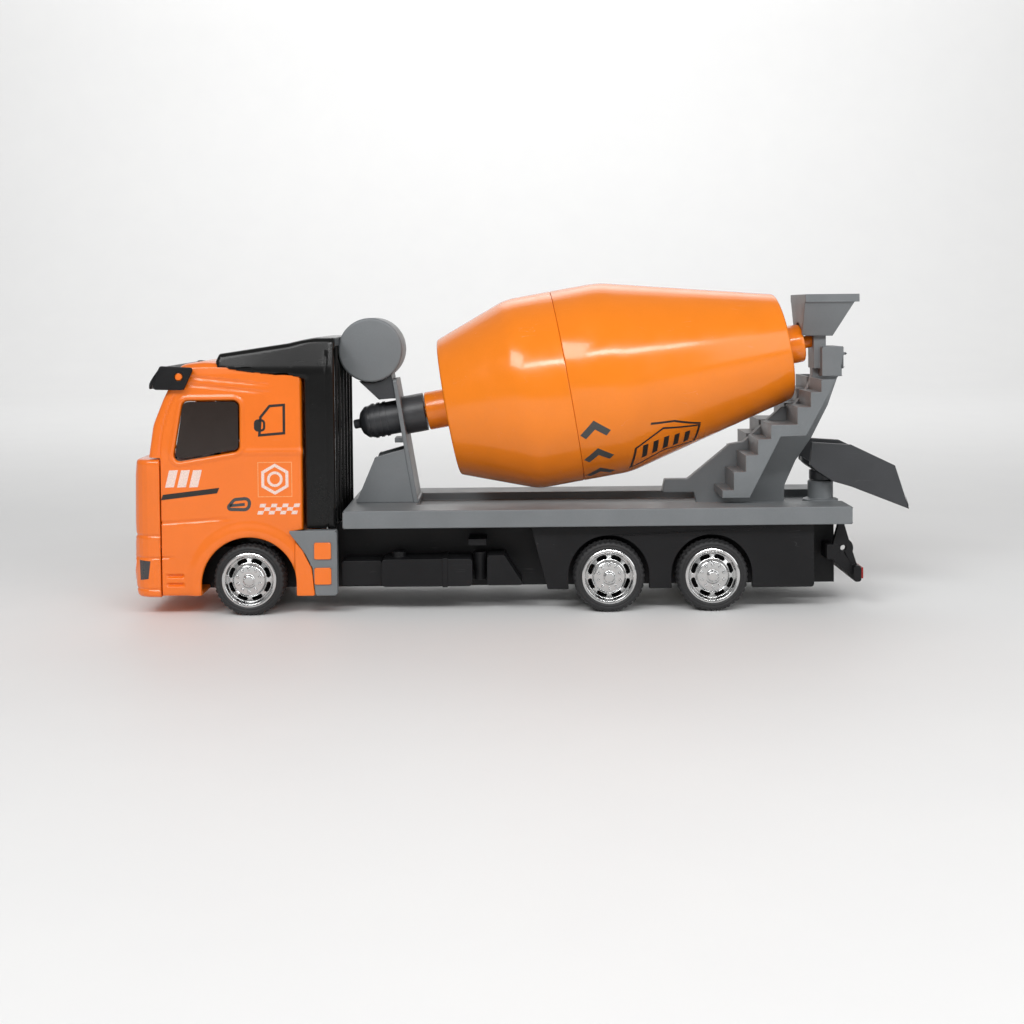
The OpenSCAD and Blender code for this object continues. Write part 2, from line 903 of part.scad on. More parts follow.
// Puts children on an axle's end: local +Z points outwards, side is 1 on the left and -1 on the right
module at_wheel(x, side) {
    translate([x, 0, axle_z])
        rotate([side * 90, 0, 0])
            translate([0, 0, wheel_face]) children();
}

module tyre(x, side) {
    tyre_r = tyre_d / 2;
    groove_w = 0.7;
    color(black)
        at_wheel(x, side)
            rotate_extrude()
                difference() {
                    translate([0, 0.4 - tyre_w])
                        polygon(rounded([
                            [rim_r, 0, 0.3],
                            [tyre_r, 0, 1.4],
                            [tyre_r, tyre_w, 1.4],
                            [rim_r, tyre_w, 0.8]
                        ]));
                    for (z = [-2.5, 0, 2.5])
                        translate([tyre_r - 0.6, 0.4 - tyre_w / 2 + z - groove_w / 2])
                            square([1, groove_w]);
                }
}

rim_depth = 7;
slot_count = 8;
bolt_count = 10;

module rim(x, side) {
    color(chrome)
        at_wheel(x, side) {
            difference() {
                rotate_extrude()
                    polygon([
                        [axle_r, -rim_depth], [3, -rim_depth], [3, -2.3], [7.2, -2.9],
                        [7.4, -rim_depth], [rim_r, -rim_depth], [rim_r, 0], [rim_r - 0.5, 0.35],
                        [7.3, -0.2], [6.9, -1.5], [4.9, -0.6], [4.7, 0.3], [1.8, 0.3],
                        [1.5, 0.9], [0, 0.9], [0, -1.6], [axle_r, -1.6]
                    ]);
                for (i = [0:slot_count - 1])
                    rotate([0, 0, (i + 0.5) * 360 / slot_count])
                        translate([6, 0, -3.5]) slot_cutter();
            }
            for (i = [0:bolt_count - 1])
                rotate([0, 0, i * 360 / bolt_count])
                    translate([3.6, 0, 0.3 - eps]) cylinder(h = 0.4, r = 0.42, $fn = 24);
        }
}

module slot_cutter() {
    translate([-0.6, -0.7, 0]) cube([1.2, 1.4, 5]);
    for (y = [-0.7, 0.7])
        translate([0, y, 0]) cylinder(h = 5, r = 0.6);
}

module axle(x) {
    color(chrome) cross_rod(x, axle_z, axle_r, wheel_face - 1.6);
}

module front_axle() { axle(front_axle_x); }
module middle_axle() { axle(middle_axle_x); }
module rear_axle() { axle(rear_axle_x); }

module tyre_front_left() { tyre(front_axle_x, 1); }
module tyre_front_right() { tyre(front_axle_x, -1); }
module tyre_middle_left() { tyre(middle_axle_x, 1); }
module tyre_middle_right() { tyre(middle_axle_x, -1); }
module tyre_rear_left() { tyre(rear_axle_x, 1); }
module tyre_rear_right() { tyre(rear_axle_x, -1); }

module rim_front_left() { rim(front_axle_x, 1); }
module rim_front_right() { rim(front_axle_x, -1); }
module rim_middle_left() { rim(middle_axle_x, 1); }
module rim_middle_right() { rim(middle_axle_x, -1); }
module rim_rear_left() { rim(rear_axle_x, 1); }
module rim_rear_right() { rim(rear_axle_x, -1); }

// ---------------------------------------------------------------- deck and front pedestal

tray_w = 29;
tray_depth = 2.4;
post_x = deck_back - 3.9;

module deck() {
    color(grey)
        difference() {
            side_view(-deck_w / 2, deck_w / 2)
                polygon(rounded(box_outline(deck_front, deck_back, deck_bottom, deck_top, 0.5), 3));
            block(deck_front + 22, deck_back - 14, -tray_w / 2, tray_w / 2, deck_top - tray_depth, deck_top + 1);
            block(deck_back - 14, deck_back + 1, -tray_w / 2, tray_w / 2, deck_top - tray_depth, deck_top + 1);
        }
}

pedestal_foot_x = deck_front + 22.1;
pedestal_tilt = 9.4;
pedestal_half_w = 9;
pedestal_h = 40.2;
plate_t = 1.4;
gusset_t = 1.6;
gusset_face = pedestal_half_w - 0.3;
motor_r = 6.2;

// Puts children on the leaning plate, with local X through its thickness
module on_plate() {
    translate([pedestal_foot_x, 0, deck_top])
        rotate([0, -pedestal_tilt, 0]) children();
}

module front_pedestal() {
    color(grey)
        difference() {
            union() {
                // Leaning plate, wider at its foot
                on_plate()
                    front_view(-plate_t, 0)
                        polygon(rounded([
                            [-pedestal_half_w, -0.4, 0],
                            [-pedestal_half_w, 18, 4],
                            [-pedestal_half_w + 1.5, pedestal_h, 1],
                            [pedestal_half_w - 1.5, pedestal_h, 1],
                            [pedestal_half_w, 18, 4],
                            [pedestal_half_w, -0.4, 0]
                        ]));
                // Side gussets
                both_sides()
                    side_view(-gusset_face, -gusset_face + gusset_t)
                        polygon(rounded([
                            [deck_front + 2.2, deck_top, 0],
                            [deck_front + 8.4, 47, 0.8],
                            [deck_front + 18.4, 49.8, 0],
                            [pedestal_foot_x - 0.5, deck_top, 0]
                        ]));
                // Foot flange
                block(deck_front + 2.2, pedestal_foot_x + 0.4, -gusset_face, gusset_face,
                    deck_top, deck_top + 1.2);
                // Shelf under the drum motor
                block(deck_front + 14.4, deck_front + 18, -4, 4, 51.3, 52.8);
            }
            // Bore for the drum motor
            on_drum_axis(-20) cylinder(h = 30, r = motor_r);
            block(deck_front - 2, deck_front + 40, -30, 30, deck_top - 3, deck_top);
        }
}

tank_x = deck_front + 6.8;
tank_z = 81.2;
tank_r = 10.3;
tank_half_l = 9;

module water_tank() {
    color(grey)
        translate([tank_x, 0, tank_z])
            rotate([90, 0, 0])
                rotate_extrude()
                    polygon([
                        [0, -tank_half_l], [tank_r - 0.9, -tank_half_l], [tank_r, -tank_half_l + 0.9],
                        [tank_r, tank_half_l - 0.9], [tank_r - 0.9, tank_half_l], [0, tank_half_l]
                    ]);
}

module tank_cradle() {
    color(dark_grey)
        difference() {
            side_view(-7, 7)
                polygon(rounded([
                    [tank_x - 4.6, 72.6, 0],
                    [tank_x + 2.9, 65.5, 0.8],
                    [tank_x + 7, 65.8, 0.5],
                    [tank_x + 12, 65.8, 0],
                    [tank_x + 12, 76, 0]
                ]));
            cross_rod(tank_x, tank_z, tank_r, 40);
            on_plate() block(-plate_t, 20, -30, 30, 0, 60);
        }
}

// ---------------------------------------------------------------- drum drive

motor_front = -24.6;
motor_back = -3.2;
housing_r = 5.4;
housing_end = -11.6;

module drum_motor() {
    color(dark_grey)
        on_drum_axis()
            difference() {
                union() {
                    translate([0, 0, motor_front + 3.6])
                        cylinder(h = housing_end - motor_front, r = housing_r);
                    translate([0, 0, housing_end]) cylinder(h = motor_back - housing_end, r = motor_r);
                    // Cooling ribs
                    for (i = [0:2])
                        translate([0, 0, motor_front + 4.2 + 1.9 * i]) cylinder(h = 0.9, r = housing_r + 0.3);
                }
                translate([0, 0, motor_back - 7]) cylinder(h = 10, r = trunnion_r + running);
            }
}

module motor_cap() {
    color(black)
        on_drum_axis(motor_front + 3.6)
            rotate([180, 0, 0])
                rotate_extrude()
                    polygon([
                        [0, 0], [5.2, 0], [5.2, 1], [4.5, 2.4], [3, 3.6], [1.5, 3.9],
                        [1.5, 5.5], [1.1, 5.9], [0, 5.9]
                    ]);
}

module drum_front_half() {
    color(orange)
        on_drum_axis()
            rotate_extrude()
                polygon([
                    [0, -9.4], [trunnion_r, -9.4], [trunnion_r, neck_front], [neck_r - 0.4, neck_front],
                    [neck_r, neck_front + 0.4], [neck_r, drum_face], [drum_front_r - 1.8, drum_face],
                    [drum_front_r, drum_face + 1.6],
                    [drum_front_r + 5.2, drum_face + 11.6], [drum_r - 1, drum_shoulder - 4],
                    [drum_r, drum_shoulder + 1], [drum_r, drum_seam],
                    [drum_r - drum_wall, drum_seam], [drum_r - drum_wall, drum_shoulder + 1],
                    [drum_r - 1 - drum_wall, drum_shoulder - 3.6],
                    [drum_front_r + 5 - drum_wall, drum_face + 12.4],
                    [drum_front_r - drum_wall, drum_face + 2.6],
                    [drum_front_r - 2 - drum_wall, drum_face + drum_wall], [0, drum_face + drum_wall]
                ]);
}

module drum_rear_half() {
    color(orange)
        on_drum_axis()
            rotate_extrude()
                polygon([
                    [drum_r - drum_wall, drum_seam], [drum_r, drum_seam],
                    [drum_r, drum_belly_end - 2], [drum_r - 0.7, drum_belly_end + 3],
                    [drum_rear_r + 0.2, drum_end - 2],
                    [drum_rear_r - 1.4, drum_end], [neck_r, drum_end], [neck_r, neck_end - 0.8],
                    [neck_r - 0.8, neck_end], [trunnion_r, neck_end], [trunnion_r, neck_end + 5],
                    [0, neck_end + 5], [0, drum_end - drum_wall],
                    [drum_rear_r - 2 - drum_wall, drum_end - drum_wall],
                    [drum_rear_r + 0.2 - drum_wall, drum_end - 3],
                    [drum_r - 0.7 - drum_wall, drum_belly_end + 2.4],
                    [drum_r - drum_wall, drum_belly_end - 2]
                ]);
}

// ---------------------------------------------------------------- rear support, stairs and hopper

stair_half_w = 20;
web_half_t = 1.8;
box_half_w = 7;
box_x0 = deck_back - 4.7;
box_x1 = deck_back + 2.3;
box_z0 = 71.6;
box_z1 = 81.2;
bearing_front = deck_back - 6.8;
bearing_back = bearing_front + 4;

module rear_support() {
    color(grey)
        difference() {
            union() {
                // Central web that stands on the deck
                side_view(-web_half_t, web_half_t)
                    polygon(rounded([
                        [44.6, 34, 0.4],
                        [45.6, 38.3, 0.4],
                        [53.1, 38.3, 1],
                        [67, 49.6, 1],
                        [71.4, 50.3, 1],
                        [83.6, 61.4, 0.6],
                        [88.2, 62.4, 0],
                        [92.4, 68, 0],
                        [bearing_front, 72, 0],
                        [bearing_front, 75, 0],
                        [box_x0, 75, 0],
                        [box_x1, box_z0 + 1, 0],
                        [box_x1 - 1, box_z0 - 1, 1],
                        [98.8, 62, 2],
                        [93.4, 51.4, 2],
                        [88.2, 44, 3],
                        [84.6, 36, 2],
                        [84.4, deck_top - tray_depth, 0],
                        [56, deck_top - tray_depth, 0],
                        [55, 34, 0]
                    ]));
                // Platform under the hopper, with its ledges
                side_view(-box_half_w, box_half_w)
                    polygon(rounded([
                        [box_x0, box_z0, 0.3],
                        [box_x1 - 0.6, box_z0, 0.3],
                        [box_x1 - 0.6, 74, 0.2],
                        [box_x1, 74.3, 0.2],
                        [box_x1, 78.4, 0.3],
                        [box_x1 + 0.8, 78.6, 0.2],
                        [box_x1 + 0.8, 79.2, 0.2],
                        [box_x1, 79.4, 0.2],
                        [box_x1, box_z1, 0.5],
                        [box_x0, box_z1, 0.5]
                    ]));
                // Bearing block for the drum's rear trunnion
                block(bearing_front, bearing_back, -4.4, 4.4, 74, 86);
            }
            on_drum_axis(neck_end - 2) cylinder(h = 7.6, r = trunnion_r + running);
        }
}

// Corners of the step line, from the foot to the top, as [x, z]
steps = [
    [61.6, 34.4], [61.6, 36.8], [65.2, 36.8], [65.2, 42.5], [69, 42.5], [69, 47.7],
    [72.8, 47.7], [72.8, 52.7], [76.9, 52.7], [76.9, 57.2], [85.2, 57.2], [85.2, 62.6],
    [89.4, 62.6], [89.4, 67.3], [92.7, 67.3], [92.7, 71.2]
];
tread_t = 1.1;

module stairs() {
    top = steps[len(steps) - 1];
    color(grey) {
        // Stepped stringer with a sloping back edge
        side_view(-stair_half_w, -stair_half_w + 1.6)
            polygon(concat(steps, [
                [97.4, top.y], [88, 53.7], [80, 53.5], [70.2, 34.4]
            ]));
        // Treads and risers between the stringer and the web
        side_view(-stair_half_w + 1.6 - eps, -web_half_t)
            polygon(concat(steps, [
                [top.x + tread_t, top.y],
                for (i = [len(steps) - 2:-1:1]) [steps[i].x + tread_t, steps[i].y - tread_t],
                [steps[0].x + tread_t, steps[0].y]
            ]));
    }
}

module stairs_left() { stairs(); }

module stairs_right() { mirror([0, 1, 0]) stairs(); }

hopper_x = deck_back - 11;
hopper_bottom = 84.6;
hopper_top = 98;
rim_bottom = hopper_top - 2.5;
rim_half_w = 11.9;
funnel_wall = 1.5;
foot_half_w = 6.1;

// The funnel's back wall and side walls spread upwards
function funnel_back(z) = hopper_x + 10 + 0.54 * (z - hopper_bottom);
function funnel_half_w(z) = foot_half_w + 0.478 * (z - hopper_bottom);

module funnel(inset, low, top) {
    intersection() {
        side_view(-rim_half_w, rim_half_w)
            polygon([
                [hopper_x + inset, low],
                [funnel_back(low) - inset, low],
                [funnel_back(top) - inset, top],
                [hopper_x + inset, top]
            ]);
        front_view(hopper_x, hopper_x + 20)
            polygon([
                [-funnel_half_w(low) + inset, low],
                [funnel_half_w(low) - inset, low],
                [funnel_half_w(top) - inset, top],
                [-funnel_half_w(top) + inset, top]
            ]);
    }
}

module hopper() {
    mouth_half_w = funnel_half_w(rim_bottom) - funnel_wall;
    color(dark_grey)
        difference() {
            union() {
                funnel(0, hopper_bottom, rim_bottom + 0.1);
                block(hopper_x, hopper_x + 17.3, -rim_half_w, rim_half_w, rim_bottom, hopper_top);
            }
            funnel(funnel_wall, hopper_bottom + 3.6, rim_bottom + 0.1);
            block(hopper_x + funnel_wall, funnel_back(rim_bottom) - funnel_wall, -mouth_half_w, mouth_half_w,
                rim_bottom, hopper_top + 1);
            // Room for the bearing block, open below
            block(hopper_x - 5, bearing_back + 0.2, -4.6, 4.6, 80, 86.2);
            on_drum_axis(drum_end) cylinder(h = neck_end - drum_end + 0.5, r = neck_r + 0.5);
        }
}

// ---------------------------------------------------------------- chute

base_r = 4.1;
base_top = 37.4;
post_r = 2.4;
post_top = 39.2;
trough_half_w = chute_w / 2 + chute_wall;
tray_z = deck_top - tray_depth;

module chute_base() {
    color(grey)
        difference() {
            translate([post_x, 0, tray_z])
                rotate_extrude()
                    polygon([
                        [0, 0], [base_r + 1.6, 0], [base_r + 1.6, 1.2], [base_r, 1.6],
                        [base_r, base_top - tray_z - 0.4], [base_r - 0.4, base_top - tray_z],
                        [0, base_top - tray_z]
                    ]);
            translate([post_x, 0, tray_z + 1]) cylinder(h = 20, r = post_r + running);
        }
}

module chute_post() {
    color(grey)
        translate([post_x, 0, tray_z + 1.1])
            cylinder(h = post_top - tray_z - 1.1, r = post_r);
}

// Distances are measured from the post's axis
function trough_side() = [
    [-5.3, 43.4], [-4.6, 50.6], [8, 49.7], [22, 42.9], [26.4, 28.9], [8, 36.2], [2, 38], [-3.4, 41.6]
];
function trough_floor() = [
    [-7.2, 44.1], [-3.4, 41.6], [2, 38], [8, 36.2], [26.4, 28.9],
    [26.1, 30.3], [8.2, 37.7], [2.4, 39.5], [-3, 43.1], [-7.2, 45.8]
];

module chute_trough() {
    color(dark_grey)
        difference() {
            translate([post_x, 0, 0]) {
                both_sides()
                    side_view(-trough_half_w, -trough_half_w + chute_wall) polygon(trough_side());
                intersection() {
                    side_view(-trough_half_w + eps, trough_half_w - eps) polygon(trough_floor());
                    union() {
                        cylinder(h = 60, r = 6.3);
                        block(0, 40, -20, 20, 0, 60);
                    }
                }
                // Socket under the floor
                translate([0, 0, base_top + 0.3]) cylinder(h = 3, r = 3.6);
            }
            translate([post_x, 0, 0]) cylinder(h = post_top, r = post_r);
        }
}

cab_shell();
front_fascia();
grille();
headlights();
windscreen();
side_windows();
cab_interior();
steering_wheel();
sun_visor();
rear_fairing();
step_panel_left();
step_panel_right();
step_pads();
chassis_frame();
base_plate();
base_screws();
fuel_tank();
air_tank();
battery_box();
mudguard_left();
mudguard_right();
rear_bumper();
tail_lamps();
deck();
front_pedestal();
water_tank();
tank_cradle();
drum_motor();
motor_cap();
rear_support();
stairs_left();
stairs_right();
hopper();
chute_base();
chute_post();
chute_trough();
drum_front_half();
drum_rear_half();
front_axle();
middle_axle();
rear_axle();
tyre_front_left();
tyre_front_right();
tyre_middle_left();
tyre_middle_right();
tyre_rear_left();
tyre_rear_right();
rim_front_left();
rim_front_right();
rim_middle_left();
rim_middle_right();
rim_rear_left();
rim_rear_right();
motor_case();
motor_cover();
drive_gear();
idler_gear();
spring_barrel();
mainspring();
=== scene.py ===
"""Looks of the toy cement mixer truck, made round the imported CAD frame.

Lengths are in millimetres in the CAD's own frame, and turn into metres where a mesh is made.
The cab faces -X, +Z is up, and the drum's axis rises towards the rear.
"""
import json
import math

import bmesh
import bpy
import numpy as np
from mathutils import Matrix, Vector


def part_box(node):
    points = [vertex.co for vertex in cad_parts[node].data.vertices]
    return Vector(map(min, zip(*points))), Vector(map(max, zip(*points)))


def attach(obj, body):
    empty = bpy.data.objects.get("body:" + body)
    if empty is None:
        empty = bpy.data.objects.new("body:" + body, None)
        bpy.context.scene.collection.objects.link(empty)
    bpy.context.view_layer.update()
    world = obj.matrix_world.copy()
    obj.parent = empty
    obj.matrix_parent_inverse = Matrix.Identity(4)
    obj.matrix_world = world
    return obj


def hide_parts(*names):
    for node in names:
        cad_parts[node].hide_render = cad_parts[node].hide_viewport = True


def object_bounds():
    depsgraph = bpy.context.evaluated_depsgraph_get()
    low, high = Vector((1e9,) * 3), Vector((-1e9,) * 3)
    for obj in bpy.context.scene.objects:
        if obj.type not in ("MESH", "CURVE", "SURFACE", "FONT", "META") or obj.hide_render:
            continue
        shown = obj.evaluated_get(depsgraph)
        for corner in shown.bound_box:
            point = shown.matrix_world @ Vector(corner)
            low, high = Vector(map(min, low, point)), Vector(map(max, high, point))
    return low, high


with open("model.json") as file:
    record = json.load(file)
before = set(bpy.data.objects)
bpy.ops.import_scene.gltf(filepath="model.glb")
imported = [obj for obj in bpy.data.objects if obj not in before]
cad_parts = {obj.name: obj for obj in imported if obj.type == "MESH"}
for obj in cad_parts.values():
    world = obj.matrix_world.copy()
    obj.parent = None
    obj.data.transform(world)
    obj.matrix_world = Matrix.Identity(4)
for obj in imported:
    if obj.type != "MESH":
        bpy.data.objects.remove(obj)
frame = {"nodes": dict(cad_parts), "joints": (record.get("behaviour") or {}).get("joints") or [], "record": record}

MM = 0.001
cad_low, cad_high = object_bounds()

# ------------------------------------------------------------------ stations, from the frame


def node_box(name):
    """Lowest and highest corner of a CAD node, in millimetres."""
    low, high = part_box(name)
    return low / MM, high / MM


front_x = cad_low.x / MM
cab_high = node_box("cab_shell")[1]
cab_back = front_x + 54.6
cab_half_w = 26.5
cab_top = cab_high.z
cab_bottom = 6.0
fascia_back = front_x + 10.1
fascia_top = 48.8
pillar_x = front_x + 6.4
joints = {joint["name"]: joint for joint in frame["joints"]}
AXLES = ("front", "middle", "rear")
axle_x = [joints[f"{axle}_axle_spin"]["pos_m"][0] / MM for axle in AXLES]
axle_z = joints["front_axle_spin"]["pos_m"][2] / MM
drum_hub = Vector(joints["drum_spin"]["pos_m"]) / MM
drum_axis = Vector(joints["drum_spin"]["axis"]).normalized()
drum_tilt = math.atan2(drum_axis.z, drum_axis.x)

# ------------------------------------------------------------------ outlines


def rounded(points, steps=4):
    """Closed outline whose points are (x, y, corner radius), with each corner turned into an arc."""
    outline = []
    for i, (x, y, radius) in enumerate(points):
        here = Vector((x, y))
        if radius <= 0:
            outline.append(tuple(here))
            continue
        before = (Vector(points[i - 1][:2]) - here).normalized()
        after = (Vector(points[(i + 1) % len(points)][:2]) - here).normalized()
        half = before.angle(after) / 2
        centre = here + (before + after).normalized() * radius / math.sin(half)
        start = here + before * radius / math.tan(half) - centre
        end = here + after * radius / math.tan(half) - centre
        first = math.atan2(start.y, start.x)
        sweep = (math.atan2(end.y, end.x) - first + math.pi) % (2 * math.pi) - math.pi
        for k in range(steps + 1):
            angle = first + sweep * k / steps
            outline.append((centre.x + radius * math.cos(angle), centre.y + radius * math.sin(angle)))
    return outline


def box_outline(x0, x1, y0, y1, radius):
    return [(x0, y0, radius), (x1, y0, radius), (x1, y1, radius), (x0, y1, radius)]


# ------------------------------------------------------------------ mesh making


def add_object(name, vertices, faces, body, materials, replaces=(), smooth=True):
    """A piece from millimetre vertices. It rides on body and takes the given materials."""
    mesh = bpy.data.meshes.new(name)
    mesh.from_pydata((np.asarray(vertices, float) * MM).tolist(), [], [tuple(face) for face in faces])
    mesh.validate()
    mesh.polygons.foreach_set("use_smooth", [smooth] * len(mesh.polygons))
    piece = bpy.data.objects.new(name, mesh)
    bpy.context.scene.collection.objects.link(piece)
    for material in materials:
        mesh.materials.append(material)
    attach(piece, body)
    if replaces:
        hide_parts(*replaces)
    return piece


def face_outwards(piece):
    work = bmesh.new()
    work.from_mesh(piece.data)
    bmesh.ops.recalc_face_normals(work, faces=work.faces)
    work.to_mesh(piece.data)
    work.free()


def soften(piece, width):
    """Rounds a CAD node's edges and evens its shading, by modifiers only."""
    weld = piece.modifiers.new("weld", "WELD")
    weld.merge_threshold = 0.002 * MM
    bevel = piece.modifiers.new("edges", "BEVEL")
    bevel.width = width * MM
    bevel.segments = 3
    bevel.limit_method = "ANGLE"
    bevel.angle_limit = math.radians(32)
    bevel.use_clamp_overlap = False
    bevel.miter_outer = "MITER_ARC"
    even = piece.modifiers.new("shading", "WEIGHTED_NORMAL")
    even.mode = "FACE_AREA"
    even.weight = 80
    even.keep_sharp = False


def lathe(profile, place, steps):
    """Vertices and faces of a closed profile of (along, radius), turned round the Z axis of place."""
    vertices, faces, rings = [], [], []
    for along, radius in profile:
        if radius < 1e-6:
            rings.append([len(vertices)])
            vertices.append(place @ Vector((0, 0, along)))
            continue
        rings.append(list(range(len(vertices), len(vertices) + steps)))
        for k in range(steps):
            angle = 2 * math.pi * k / steps
            vertices.append(place @ Vector((radius * math.cos(angle), radius * math.sin(angle), along)))
    for ring, after in zip(rings, rings[1:] + rings[:1]):
        if len(ring) == 1 and len(after) == 1:
            continue
        for k in range(steps):
            m = (k + 1) % steps
            corners = [ring[k % len(ring)], ring[m % len(ring)]]
            corners += [after[m % len(after)], after[k % len(after)]]
            faces.append([c for i, c in enumerate(corners) if c != corners[i - 1]])
    return vertices, faces


def sharpen(piece, angle):
    """Keeps smooth shading but splits it at edges past the angle, in degrees."""
    piece.data.set_sharp_from_angle(angle=math.radians(angle))


def turned_piece(name, profile, place, steps, body, slot, node, angle=40):
    """A profile turned into a solid that takes the place of a CAD node."""
    vertices, faces = lathe(profile, place, steps)
    piece = add_object(name, vertices, faces, body, [SLOT_MATERIALS[slot]], [node])
    face_outwards(piece)
    sharpen(piece, angle)


# ------------------------------------------------------------------ fields, for the cast shapes


def outline_distance(u, v, outline):
    """Signed distance from points (u, v) to a closed outline, negative inside."""
    shape = np.broadcast(u, v).shape
    nearest = np.full(shape, 1e9)
    inside = np.zeros(shape, bool)
    for (ax, ay), (bx, by) in zip(outline, outline[1:] + outline[:1]):
        ex, ey = bx - ax, by - ay
        wu, wv = u - ax, v - ay
        share = np.clip((wu * ex + wv * ey) / (ex * ex + ey * ey + 1e-12), 0, 1)
        nearest = np.minimum(nearest, (wu - ex * share) ** 2 + (wv - ey * share) ** 2)
        inside ^= ((ay > v) != (by > v)) & (wu < ex * wv / (ey if abs(ey) > 1e-9 else 1e-9))
    return np.where(inside, -1, 1) * np.sqrt(nearest)


def smooth_max(a, b, blend):
    overlap = np.maximum(blend - np.abs(a - b), 0) / blend
    return np.maximum(a, b) + overlap * overlap * blend / 4


def smooth_min(a, b, blend):
    return -smooth_max(-a, -b, blend)


def box_distance(x, y, z, low, high):
    """Signed distance to a box, exact outside its edges only where one axis is past it."""
    along = [np.abs(c - (l + h) / 2) - (h - l) / 2 for c, l, h in zip((x, y, z), low, high)]
    return np.maximum(np.maximum(along[0], along[1]), along[2])


def bump(distance, width):
    """A soft ridge profile that is 1 at distance 0 and 0 beyond width."""
    return np.clip(1 - (distance / width) ** 2, 0, 1) ** 2


def field_slope(field, points, step):
    parts = []
    for axis in range(3):
        ahead, behind = points.copy(), points.copy()
        ahead[:, axis] += step
        behind[:, axis] -= step
        parts.append((field(*ahead.T) - field(*behind.T)) / (2 * step))
    return np.stack(parts, 1)


def field_surface(field, low, high, cell):
    """Vertices, quads and normals of the surface where field is 0, by surface nets."""
    axes = [np.arange(l, h + cell, cell) for l, h in zip(low, high)]
    values = field(axes[0][:, None, None], axes[1][None, :, None], axes[2][None, None, :])
    values = np.broadcast_to(values, [len(a) for a in axes])
    inside = values < 0
    cells = np.array(values.shape) - 1
    hit_cells, hit_points, quads = [], [], []
    for a in range(3):
        first = tuple(slice(0, -1) if k == a else slice(None) for k in range(3))
        second = tuple(slice(1, None) if k == a else slice(None) for k in range(3))
        crossed = inside[first] != inside[second]
        index = np.argwhere(crossed)
        v0, v1 = values[first][crossed], values[second][crossed]
        point = index.astype(float)
        point[:, a] += v0 / (v0 - v1)
        around = []
        for b_step, c_step in ((0, 0), (-1, 0), (-1, -1), (0, -1)):
            near = index.copy()
            near[:, (a + 1) % 3] += b_step
            near[:, (a + 2) % 3] += c_step
            around.append(np.ravel_multi_index(near.T, cells))
            hit_cells.append(around[-1])
            hit_points.append(point)
        quad = np.stack(around, 1)
        quad[v0 > 0] = quad[v0 > 0][:, ::-1]
        quads.append(quad)
    used, number = np.unique(np.concatenate(hit_cells), return_inverse=True)
    points = np.concatenate(hit_points)
    hits = np.bincount(number)
    grid = np.stack([np.bincount(number, points[:, k]) / hits for k in range(3)], 1)
    vertices = np.array(low) + grid * cell
    for _ in range(3):
        slope = field_slope(field, vertices, 0.05)
        step = -field(*vertices.T)[:, None] * slope / np.maximum((slope ** 2).sum(1), 0.05)[:, None]
        vertices += np.clip(step, -0.4 * cell, 0.4 * cell)
    normals = field_slope(field, vertices, 0.12)
    normals /= np.linalg.norm(normals, axis=1)[:, None] + 1e-9
    return vertices, np.searchsorted(used, np.concatenate(quads)), normals


def field_piece(name, field, low, high, cell, slot, node):
    """A casting on the chassis that takes the place of a CAD node."""
    vertices, quads, normals = field_surface(field, low, high, cell)
    piece = add_object(name, vertices, quads.tolist(), "chassis", [SLOT_MATERIALS[slot]], [node])
    piece.data.normals_split_custom_set_from_vertices(normals.tolist())


# ------------------------------------------------------------------ materials


def shader(name, colour, roughness, **values):
    """A new Principled material. Returns it with its nodes, links, shader node and object coordinates."""
    material = bpy.data.materials.new(name)
    material.use_nodes = True
    nodes, links = material.node_tree.nodes, material.node_tree.links
    principled = nodes["Principled BSDF"]
    principled.inputs["Base Color"].default_value = (*colour, 1)
    principled.inputs["Roughness"].default_value = roughness
    for socket, value in values.items():
        principled.inputs[socket.replace("_", " ")].default_value = value
    coordinates = nodes.new("ShaderNodeTexCoord")
    return material, nodes, links, principled, coordinates.outputs["Object"]


def noise(nodes, links, place, size, detail=3.0, roughness=0.55, distortion=0.0):
    """Noise whose features are about size millimetres. Returns its 0 to 1 output."""
    texture = nodes.new("ShaderNodeTexNoise")
    texture.inputs["Scale"].default_value = 1 / (size * MM)
    texture.inputs["Detail"].default_value = detail
    texture.inputs["Roughness"].default_value = roughness
    texture.inputs["Distortion"].default_value = distortion
    links.new(place, texture.inputs["Vector"])
    return texture.outputs["Fac"]


def remap(nodes, links, value, low, high, new_low, new_high):
    node = nodes.new("ShaderNodeMapRange")
    node.inputs["From Min"].default_value = low
    node.inputs["From Max"].default_value = high
    node.inputs["To Min"].default_value = new_low
    node.inputs["To Max"].default_value = new_high
    links.new(value, node.inputs["Value"])
    return node.outputs["Result"]


def combine(nodes, links, operation, a, b):
    node = nodes.new("ShaderNodeMath")
    node.operation = operation
    for socket, value in zip(node.inputs, (a, b)):
        if isinstance(value, (int, float)):
            socket.default_value = value
        else:
            links.new(value, socket)
    return node.outputs[0]


def tint(nodes, links, share, first, second):
    """A colour that runs from first to second with share."""
    node = nodes.new("ShaderNodeMix")
    node.data_type = "RGBA"
    links.new(share, node.inputs["Factor"])
    node.inputs["A"].default_value = (*first, 1)
    node.inputs["B"].default_value = (*second, 1)
    return node.outputs["Result"]


def shaded(colour, factor):
    return tuple(min(1.0, c * factor) for c in colour)


def relief(nodes, links, principled, height, depth):
    """Bump of depth millimetres."""
    node = nodes.new("ShaderNodeBump")
    node.inputs["Strength"].default_value = 1.0
    node.inputs["Distance"].default_value = depth * MM
    links.new(height, node.inputs["Height"])
    links.new(node.outputs["Normal"], principled.inputs["Normal"])
    if "Coat Normal" in principled.inputs:
        links.new(node.outputs["Normal"], principled.inputs["Coat Normal"])


